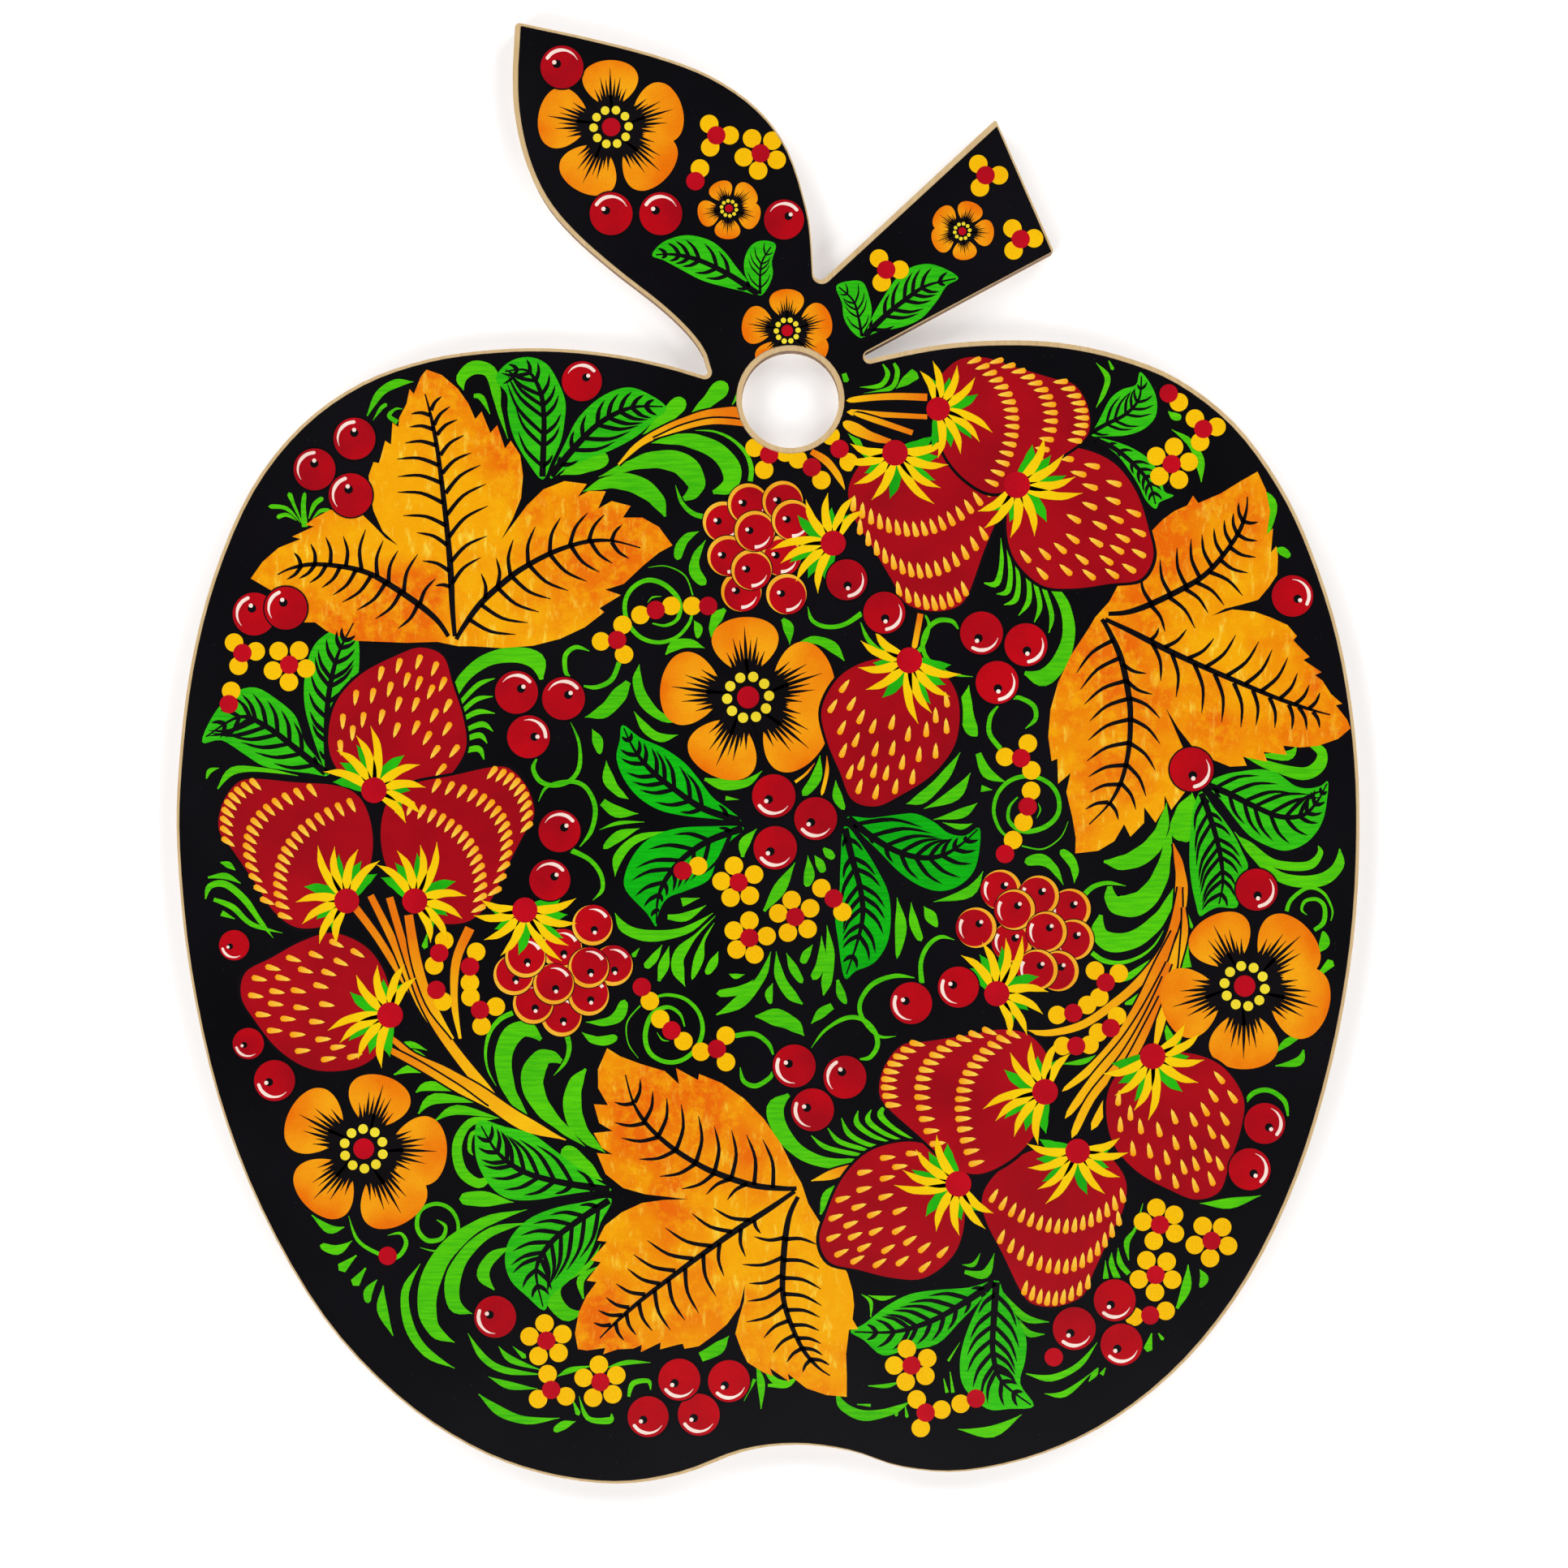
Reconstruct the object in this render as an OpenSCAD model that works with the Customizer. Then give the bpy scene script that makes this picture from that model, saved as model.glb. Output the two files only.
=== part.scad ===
// Apple-shaped plywood board with a leaf and a stalk, painted in the khokhloma manner.
// It lies flat: +Z out of the painted face, +Y towards the leaf. Origin at the middle of the back.

/* [Board] */
// Width across the two lobes of the apple
board_w = 243; // [200:1:292]
// Height from the bottom of the apple to the tip of the leaf
board_h = 300; // [250:1:360]
// Thickness of each of the five birch veneers
veneer_t = 1.12; // [0.9:0.02:1.8]
// Thickness of each glue line between two veneers
glue_t = 0.1; // [0.05:0.01:0.2]

/* [Hanging hole] */
// Diameter of the hanging hole
hole_d = 20; // [10:0.5:24]
// How far left of the bottom of the crotch, where leaf and stalk meet, the hole's centre lies
hole_left = 4.9; // [3:0.1:7]
// How far below the bottom of the crotch the hole's centre lies
hole_below = 22.9; // [21:0.1:30]

/* [Cut corners] */
// Radius where the leaf meets the stalk
crotch_r = 1.4; // [1:0.1:3]
// Radius at the bottom of the two notches beside the hole
notch_r = 0.8; // [0.5:0.1:1.2]
// Radius on the tip of the leaf
tip_r = 0.9; // [0.3:0.1:2]
// Radius on the two corners of the stalk
stalk_r = 0.4; // [0.2:0.1:1]

/* [Print] */
// Thickness of the black ground coat
ground_t = 0.1; // [0.05:0.01:0.3]
// Bare wood left between the ground coat and the sawn edge
bare_edge = 0.65; // [0.5:0.05:2]
// Bare wood left around the hole
bare_ring = 1.15; // [0.5:0.05:3]
// How far the print sits below the middle of the board
print_drop = 0.2; // [0:0.05:0.3]
// How far the print is turned clockwise on the board, in degrees
print_turn = 0.2; // [0:0.05:0.2]

/* [Hidden] */
$fn = 96;

drawn_w = 243; // the outline's knots are drawn on a board of this width and height
drawn_h = 300;
crotch = [9.5, 95.6]; // the corner between the leaf and the stalk
curve_steps = 4; // straight steps between two knots of a curve
arc_steps = 8; // straight steps round a corner

ply_pitch = veneer_t + glue_t;
face_top = 4 * ply_pitch + veneer_t;

// Knots of the sawn outline, clockwise from the tip of the leaf: x, y and the radius of a corner.
// A radius of 0 is a smooth knot of the curve.
knots = [
    [-51.9, 150.2, tip_r], [-40, 147.7, 0], [-24, 143.7, 0], [-12, 139.2, 0], [-2.4, 132.6, 0],
    [4, 124, 0], [7.9, 112, 0], [9, 104, 0], [crotch.x, crotch.y, crotch_r],
    [46.8, 130.2, stalk_r], [58.7, 103.1, stalk_r], [14.7, 79.4, notch_r],
    [24, 81.7, 0], [36, 84, 0], [48, 84.8, 0], [60, 84.3, 0], [72, 81.8, 0], [84, 77, 0],
    [95.7, 68, 0], [105, 55.5, 0], [111.5, 42, 0], [117.3, 24, 0], [120.6, 4, 0], [121.5, -16, 0],
    [120.2, -39, 0], [116, -63, 0], [109, -86.5, 0], [99, -107.4, 0], [86.5, -124, 0],
    [72, -136.2, 0], [57, -143.7, 0], [41, -147.4, 0], [28, -146.7, 0], [17, -143.3, 0],
    [6, -142, 0], [-5, -143.4, 0], [-17.5, -148, 0], [-31, -150, 0], [-46.2, -148, 0],
    [-61, -142.4, 0], [-76.3, -132, 0], [-91.2, -116, 0], [-104, -94, 0], [-113, -70.5, 0],
    [-118.8, -44.5, 0], [-121.3, -20, 0], [-121, -3, 0], [-118.7, 17, 0], [-114, 36, 0],
    [-106.3, 54, 0], [-96, 67.2, 0], [-83.7, 76, 0], [-70, 80.9, 0], [-56, 82.9, 0],
    [-43, 83.1, 0], [-30, 81.7, 0], [-19, 79.3, 0], [-12, 77.2, notch_r],
    [-13.4, 81.8, 0], [-16.6, 86.4, 0], [-22.5, 92, 0], [-32, 99.4, 0], [-40.4, 106.8, 0],
    [-46.3, 114, 0], [-50.1, 122.5, 0], [-52.1, 132, 0], [-52.4, 141, 0]];

// A point of the drawing, moved to where it falls on a board of another size.
function place(p) = [p.x * board_w / drawn_w, p.y * board_h / drawn_h];

hole_at = place(crotch) - [hole_left, hole_below];

function unit(v) = v / norm(v);
function turn_right(v) = [v.y, -v.x];
function sine(u, v) = u.x * v.y - u.y * v.x;

// The outline's points, with the whole outline drawn in by a margin.
function outline(margin) =
    let (n = len(knots), p = [for (k = knots) place(k)])
    let (k = [for (i = [0 : n - 1])
        let (before = p[(i + n - 1) % n], after = p[(i + 1) % n], r = knots[i].z)
        r == 0
            ? [p[i] + margin * turn_right(unit(after - before)), 0]
            : let (u = unit(before - p[i]), v = unit(after - p[i]), half = acos(u * v) / 2,
                   way = sine(v, u) < 0 ? -1 : 1)
              [p[i] - way * unit(u + v) * margin / sin(half), max(r + way * margin, 0.1)]])
    [for (i = [0 : n - 1])
        let (a = k[(i + n - 1) % n], b = k[i], c = k[(i + 1) % n], d = k[(i + 2) % n])
        each b[1] > 0 ? corner(a[0], b[0], c[0], b[1])
            : c[1] > 0 ? [b[0]]
            : stretch(b[0], c[0], (c[0] - a[0]) / 2, (d[0] - b[0]) / 2)];

// An arc that touches both edges of a corner.
function corner(before, at, after, r) =
    let (u = unit(before - at), v = unit(after - at), half = acos(u * v) / 2,
         middle = at + unit(u + v) * r / sin(half), from = at + u * r / tan(half) - middle,
         sweep = sign(sine(u, v)) * (2 * half - 180))
    [for (s = [0 : arc_steps]) let (a = sweep * s / arc_steps)
        middle + [from.x * cos(a) - from.y * sin(a), from.x * sin(a) + from.y * cos(a)]];

// A cubic from knot b to knot c that leaves and arrives with the given slopes.
function stretch(b, c, leave, arrive) = [for (s = [0 : curve_steps - 1]) let (t = s / curve_steps)
    (2*t*t*t - 3*t*t + 1) * b + (t*t*t - 2*t*t + t) * leave
    + (3*t*t - 2*t*t*t) * c + (t*t*t - t*t) * arrive];

module hole(r, z, t) {
    translate([hole_at.x, hole_at.y, z - 1]) cylinder(r = r, h = t + 2);
}

// One sheet of the plywood, lying with its underside at z.
module sheet(z, t) {
    difference() {
        translate([0, 0, z]) linear_extrude(t) polygon(outline(0));
        hole(hole_d / 2, z, t);
    }
}

module veneer(level) { sheet(level * ply_pitch, veneer_t); }
module glue(level) { sheet(level * ply_pitch + veneer_t, glue_t); }

module back_veneer() { color([0.80, 0.66, 0.45]) veneer(0); }
module back_glue() { color([0.22, 0.12, 0.08]) glue(0); }
module lower_crossband() { color([0.42, 0.26, 0.17]) veneer(1); }
module lower_glue() { color([0.22, 0.12, 0.08]) glue(1); }
module core_veneer() { color([0.80, 0.66, 0.45]) veneer(2); }
module upper_glue() { color([0.22, 0.12, 0.08]) glue(2); }
module upper_crossband() { color([0.42, 0.26, 0.17]) veneer(3); }
module face_glue() { color([0.22, 0.12, 0.08]) glue(3); }
module face_veneer() { color([0.84, 0.70, 0.48]) veneer(4); }

// Everything printed on the face shares the print's drop and turn.
module printed() {
    translate([0, -print_drop, face_top]) rotate([0, 0, -print_turn]) children();
}

module ground_coat() {
    color([0.05, 0.05, 0.06]) difference() {
        printed() linear_extrude(ground_t) polygon(outline(bare_edge));
        hole(hole_d / 2 + bare_ring, face_top, ground_t);
    }
}

back_veneer();
back_glue();
lower_crossband();
lower_glue();
core_veneer();
upper_glue();
upper_crossband();
face_glue();
face_veneer();
ground_coat();
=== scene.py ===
"""Apple-shaped plywood board with a leaf and a stalk, painted in the khokhloma manner."""
import math

import bpy
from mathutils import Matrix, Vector
from mathutils.bvhtree import BVHTree


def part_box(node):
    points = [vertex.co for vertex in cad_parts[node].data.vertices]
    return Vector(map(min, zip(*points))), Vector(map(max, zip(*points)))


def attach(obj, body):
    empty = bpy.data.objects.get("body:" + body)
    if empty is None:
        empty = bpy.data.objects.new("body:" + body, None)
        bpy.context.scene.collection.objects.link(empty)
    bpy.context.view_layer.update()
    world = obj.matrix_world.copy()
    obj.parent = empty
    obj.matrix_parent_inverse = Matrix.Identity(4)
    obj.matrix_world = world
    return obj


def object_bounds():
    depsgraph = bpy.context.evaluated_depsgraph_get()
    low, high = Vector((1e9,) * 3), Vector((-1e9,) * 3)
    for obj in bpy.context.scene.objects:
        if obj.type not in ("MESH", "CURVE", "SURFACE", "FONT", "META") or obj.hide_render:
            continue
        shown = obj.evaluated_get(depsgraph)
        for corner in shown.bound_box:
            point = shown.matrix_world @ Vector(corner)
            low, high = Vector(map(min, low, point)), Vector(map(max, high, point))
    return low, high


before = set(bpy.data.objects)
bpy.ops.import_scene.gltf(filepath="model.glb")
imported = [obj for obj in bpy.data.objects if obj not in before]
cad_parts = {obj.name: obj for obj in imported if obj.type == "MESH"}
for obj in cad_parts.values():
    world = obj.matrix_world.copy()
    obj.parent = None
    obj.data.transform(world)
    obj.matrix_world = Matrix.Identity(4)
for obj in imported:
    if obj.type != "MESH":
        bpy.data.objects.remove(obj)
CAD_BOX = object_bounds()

MM = 0.001
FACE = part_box("ground_coat")[1].z  # top of the black ground coat, where every paint film starts
LIFT = 0.007 * MM  # how much higher each kind of paint lies than the one under it

# Each kind of paint lies this many lifts above the ground coat.
CURL, STEM, LEAF, AMBER, VEIN, PETAL, STREAK, BLOSSOM_DOT, BLOSSOM_EYE = range(1, 10)
HAIR = 0.03  # lifts between two shapes of the same kind, so that none of their faces coincide
FRUIT, SECOND_FRUIT, TOP_FRUIT = 10, 12, 14  # the seeds of each lie one lift above it
DRUPELET, SEPAL, CALYX, EYE, BERRY, GLINT, SPOT = 16, 19, 20, 21, 22, 23, 24


# ---------------------------------------------------------------- shader tools

class Value:
    """What a shader node gives, ready for arithmetic."""

    def __init__(self, finish, socket):
        self.finish = finish
        self.socket = socket

    def maths(self, operation, *values):
        return self.finish.node("ShaderNodeMath", {"operation": operation}, dict(enumerate(values)))

    def __add__(self, other):
        return self.maths("ADD", self, other)

    def __sub__(self, other):
        return self.maths("SUBTRACT", self, other)

    def __rsub__(self, other):
        return self.maths("SUBTRACT", other, self)

    def __mul__(self, other):
        return self.maths("MULTIPLY", self, other)

    def __truediv__(self, other):
        return self.maths("DIVIDE", self, other)

    __radd__ = __add__
    __rmul__ = __mul__

    def clamped(self):
        """The value kept between 0 and 1."""
        return self.finish.node("ShaderNodeClamp", {}, {"Value": self})

    def ramp(self, low, high):
        """0 below low, 1 above high and even between."""
        sockets = {"Value": self, "From Min": low, "From Max": high}
        return self.finish.node("ShaderNodeMapRange", {"clamp": True}, sockets)


def srgb(code):
    """A linear colour from a hex code, as paint charts give it."""
    parts = [int(code[i:i + 2], 16) / 255 for i in (0, 2, 4)]
    return [p / 12.92 if p <= 0.04045 else ((p + 0.055) / 1.055) ** 2.4 for p in parts] + [1]


class Finish:
    """One material. Constants go straight on the shader's sockets."""

    def __init__(self, name, **constants):
        self.material = bpy.data.materials.new(name)
        self.material.use_nodes = True
        self.tree = self.material.node_tree
        self.shader = self.tree.nodes["Principled BSDF"]
        self.put(self.shader.inputs["Specular IOR Level"], 0.25)
        for socket, value in constants.items():
            self.put(self.shader.inputs[socket.replace("_", " ")], value)

    def put(self, socket, value):
        if isinstance(value, Value):
            self.tree.links.new(value.socket, socket)
        else:
            socket.default_value = value

    def node(self, kind, settings, sockets, output=0):
        """Adds a node of that kind, sets it up, fills its sockets and gives one output."""
        made = self.tree.nodes.new(kind)
        for key, value in settings.items():
            setattr(made, key, value)
        for key, value in sockets.items():
            self.put(made.inputs[key], value)
        return Value(self, made.outputs[output])

    def mix(self, first, second, share, blend="MIX"):
        """A colour between two colours."""
        settings = {"data_type": "RGBA", "blend_type": blend}
        return self.node("ShaderNodeMix", settings, {0: share, 6: first, 7: second}, 2)

    def place(self):
        """Where the point is, in metres."""
        return self.node("ShaderNodeTexCoord", {}, {}, "Object")

    def stretched(self, across, along):
        """The place, stretched for a grain or a brush mark."""
        return self.node("ShaderNodeMapping", {}, {"Vector": self.place(), "Scale": (across, along, 1)})

    def noise(self, scale, detail=2, where=None, roughness=0.5):
        sockets = {"Vector": where or self.place(), "Scale": scale, "Detail": detail, "Roughness": roughness}
        return self.node("ShaderNodeTexNoise", {}, sockets)

    def along(self):
        """How far along the motif the point is."""
        where = self.node("ShaderNodeUVMap", {"uv_map": "motif"}, {})
        return self.node("ShaderNodeSeparateXYZ", {}, {0: where})

    def colour(self, value):
        self.put(self.shader.inputs["Base Color"], value)

    def roughness(self, value):
        self.put(self.shader.inputs["Roughness"], value)

    def bump(self, height, distance, strength=1.0):
        sockets = {"Height": height, "Distance": distance, "Strength": strength}
        self.put(self.shader.inputs["Normal"], self.node("ShaderNodeBump", {}, sockets))


# ---------------------------------------------------------------- finishes

def lacquered(finish):
    """The clear gloss coat over the whole print: a slow orange peel and faint wipe marks."""
    peel = finish.noise(260, 2)
    wipes = finish.noise(22, 3)
    finish.roughness(wipes.ramp(0.3, 0.8) * 0.1 + 0.2)
    finish.bump(peel, 0.00002, 0.5)


def print_dots(finish, colour, depth=0.12):
    """The fine screen of the print, which darkens the colour in specks."""
    specks = finish.noise(2600, 1).ramp(0.35, 0.75) * depth
    return finish.mix(colour, (0, 0, 0, 1), specks)


def plain_paint(name, base, shade, depth=0.12):
    """A paint that clouds a little between two tones."""
    finish = Finish(name)
    clouds = finish.noise(90, 2).ramp(0.3, 0.7)
    finish.colour(print_dots(finish, finish.mix(srgb(base), srgb(shade), clouds), depth))
    lacquered(finish)
    return finish.material


def ground_black():
    finish = Finish("ground_black")
    clouds = finish.noise(30, 3).ramp(0.3, 0.7)
    dust = finish.noise(1500, 1).ramp(0.74, 0.8) * 0.25
    black = finish.mix(srgb("060508"), srgb("0d0b10"), clouds)
    finish.colour(finish.mix(black, srgb("3a3a42"), dust))
    lacquered(finish)
    return finish.material


def brushed_green(name, base, shade):
    """Green laid in strokes: fine streaks across the board and a deeper tone in places."""
    finish = Finish(name)
    streaks = finish.noise(1, 2, finish.stretched(160, 1900)).ramp(0.4, 0.62)
    clouds = finish.noise(55, 2).ramp(0.35, 0.65)
    tone = finish.mix(srgb(base), srgb(shade), streaks * 0.5 + clouds * 0.5)
    finish.colour(print_dots(finish, tone, 0.1))
    lacquered(finish)
    return finish.material


def amber_foil():
    """Gold leaf under orange varnish: warm clouds, pale crackle and slanting scratches."""
    finish = Finish("amber_foil")
    clouds = finish.noise(34, 3, roughness=0.6).ramp(0.4, 0.6)
    crackle = finish.noise(260, 4, roughness=0.75).ramp(0.46, 0.66)
    scratches = finish.noise(1, 3, finish.stretched(520, 150), 0.7).ramp(0.56, 0.74)
    tone = finish.mix(srgb("ee6c06"), srgb("f9a904"), clouds)
    tone = finish.mix(tone, srgb("fdb80c"), crackle * 0.6)
    tone = finish.mix(tone, srgb("ffe04a"), (scratches * (clouds * 0.6 + 0.4)).clamped())
    finish.colour(print_dots(finish, tone, 0.08))
    lacquered(finish)
    return finish.material


def petal_orange():
    """Amber in the middle of the petal, redder towards its rim and its root."""
    finish = Finish("petal_orange")
    along = finish.along()
    clouds = finish.noise(120, 3).ramp(0.35, 0.7)
    rim = along.ramp(8.5, 13.5)
    tone = finish.mix(srgb("fba812"), srgb("f07404"), (rim * 0.6 + clouds * 0.6).clamped())
    finish.colour(print_dots(finish, tone, 0.1))
    lacquered(finish)
    return finish.material


def tipped_gold(name, start, end):
    """A stroke whose colour runs from its start to its end."""
    finish = Finish(name)
    along = finish.along()
    clouds = finish.noise(150, 2).ramp(0.3, 0.7) * 0.3
    tone = finish.mix(srgb(start), srgb(end), (along.ramp(0.1, 0.95) + clouds - 0.15).clamped())
    finish.colour(print_dots(finish, tone, 0.08))
    lacquered(finish)
    return finish.material


def birch(name, pale, dark, edge):
    """Sanded birch with its grain along Y, browned where the laser cut it."""
    finish = Finish(name, Roughness=0.62)
    grain = finish.noise(1, 4, finish.stretched(900, 60), 0.6).ramp(0.35, 0.7)
    figure = finish.noise(1, 2, finish.stretched(60, 9)).ramp(0.3, 0.7)
    pores = finish.noise(1, 1, finish.stretched(2600, 240)).ramp(0.66, 0.76)
    tone = finish.mix(srgb(pale), srgb(dark), grain * 0.45 + figure * 0.3)
    tone = finish.mix(tone, srgb(dark), pores * 0.6)
    normal = finish.node("ShaderNodeTexCoord", {}, {}, "Normal")
    up = finish.node("ShaderNodeSeparateXYZ", {}, {0: normal}, 2)
    flat = up.maths("ABSOLUTE", up)
    soot = finish.noise(1, 3, finish.stretched(500, 500)).ramp(0.3, 0.75) * 0.35 + 0.6
    finish.colour(finish.mix(tone, srgb(edge), (1 - flat) * soot))
    finish.bump(grain, 0.00004, 0.6)
    return finish.material


def glue_line():
    finish = Finish("browned_glue", Roughness=0.5)
    clouds = finish.noise(400, 2).ramp(0.3, 0.7)
    finish.colour(finish.mix(srgb("3a2318"), srgb("20120c"), clouds))
    return finish.material


PAINT = {
    "deep_leaf": brushed_green("deep_leaf_green", "12c214", "0aa010"),
    "curl": brushed_green("curl_green", "5fd60a", "3cb60c"),
    "leaf": brushed_green("leaf_green", "3ecc14", "1ead12"),
    "amber": amber_foil(),
    "petal": petal_orange(),
    "stem": tipped_gold("stem_gold", "ec780c", "fdc410"),
    "seed": tipped_gold("seed_gold", "ffd94e", "fba30c"),
    "calyx": tipped_gold("calyx_yellow", "fdd60a", "fbc708"),
    "sepal": plain_paint("sepal_green", "2fc40e", "149e12"),
    "fruit": plain_paint("fruit_red", "b00b18", "9c0816"),
    "berry": plain_paint("berry_red", "c40716", "a30616"),
    "eye": plain_paint("eye_red", "c80a1e", "b0081c"),
    "dot": plain_paint("dot_yellow", "ffc706", "fabc04"),
    "pale_dot": plain_paint("dot_lemon", "fbe93c", "f0d42a"),
    "rim": plain_paint("rim_gold", "fbc23a", "f2a018"),
    "glint": plain_paint("glint_cream", "ffeee2", "f8d8cc", 0.04),
    "ink": plain_paint("ink_black", "100c10", "0a080a", 0.05),
}


def finish_cad():
    """Gives every carried-over board layer its own finish."""
    pale = birch("birch_face", "dcc091", "bd9864", "7a5236")
    back = birch("birch_back", "dfc79c", "c4a26f", "7a5236")
    core = birch("birch_core", "d8bd90", "b8925f", "a37a50")
    cross = birch("birch_crossband", "a77d52", "8c623d", "6b442b")
    glue = glue_line()
    layers = {"face_veneer": pale, "back_veneer": back, "core_veneer": core,
              "lower_crossband": cross, "upper_crossband": cross, "ground_coat": ground_black()}
    for node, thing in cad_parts.items():
        material = layers.get(node, glue)
        if not thing.material_slots:
            thing.data.materials.append(material)
        for holder in thing.material_slots:
            holder.material = material


# ---------------------------------------------------------------- drawing tools, in mm on the board

def smooth(knots, closed=False, steps=5):
    """Points of a smooth curve through the knots."""
    count = len(knots)
    points = []
    for i in range(count if closed else count - 1):
        near = [(i + k) % count if closed else min(max(i + k, 0), count - 1) for k in (-1, 0, 1, 2)]
        a, b, c, d = (knots[k] for k in near)
        for s in range(steps):
            t = s / steps
            points.append(tuple(
                0.5 * (2 * q + (r - p) * t + (2 * p - 5 * q + 4 * r - e) * t * t
                       + (3 * q - p - 3 * r + e) * t ** 3)
                for p, q, r, e in zip(a, b, c, d)))
    return points if closed else points + [tuple(knots[-1])]


def ring(x, y, r, steps=28):
    turns = [math.tau * i / steps for i in range(steps)]
    return [(x + r * math.cos(turn), y + r * math.sin(turn)) for turn in turns]


def polar(x, y, distance, degrees):
    return x + distance * math.cos(math.radians(degrees)), y + distance * math.sin(math.radians(degrees))


class Place:
    """Where a motif lies: its origin, its turn in degrees, its size and whether it is mirrored."""

    def __init__(self, x=0, y=0, turn=0, size=1, mirror=False):
        self.origin = (x, y)
        self.turn = math.radians(turn)
        self.size = size
        self.mirror = -1 if mirror else 1

    def __call__(self, point):
        x, y = point[0] * self.mirror * self.size, point[1] * self.size
        c, s = math.cos(self.turn), math.sin(self.turn)
        return x * c - y * s + self.origin[0], x * s + y * c + self.origin[1]


HERE = Place()


def ground_tree():
    """The ground coat as a search tree."""
    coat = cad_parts["ground_coat"]
    bpy.context.view_layer.update()
    corners = [coat.matrix_world @ vertex.co for vertex in coat.data.vertices]
    return BVHTree.FromPolygons(corners, [tuple(face.vertices) for face in coat.data.polygons])


GROUND = ground_tree()
EDGE_HALVINGS = 12  # how closely the coat's edge is searched for


def on_ground(x, y):
    """Whether the point lies over the ground coat."""
    return GROUND.ray_cast(Vector((x * MM, y * MM, 1)), Vector((0, 0, -1)))[0] is not None


def trimmed(outline):
    """The outline, with its points that miss the ground coat drawn in to the coat's edge."""
    kept = [on_ground(*point) for point in outline]
    if all(kept) or not any(kept):
        return outline
    inner = [point for point, inside in zip(outline, kept) if inside]
    x, y = (sum(point[axis] for point in inner) / len(inner) for axis in (0, 1))
    result = []
    for (a, b), inside in zip(outline, kept):
        near, far = 0.0, 1.0
        for _ in range(0 if inside else EDGE_HALVINGS):
            middle = (near + far) / 2
            if on_ground(x + (a - x) * middle, y + (b - y) * middle):
                near = middle
            else:
                far = middle
        share = 1.0 if inside else near
        result.append((x + (a - x) * share, y + (b - y) * share))
    return result


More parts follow.
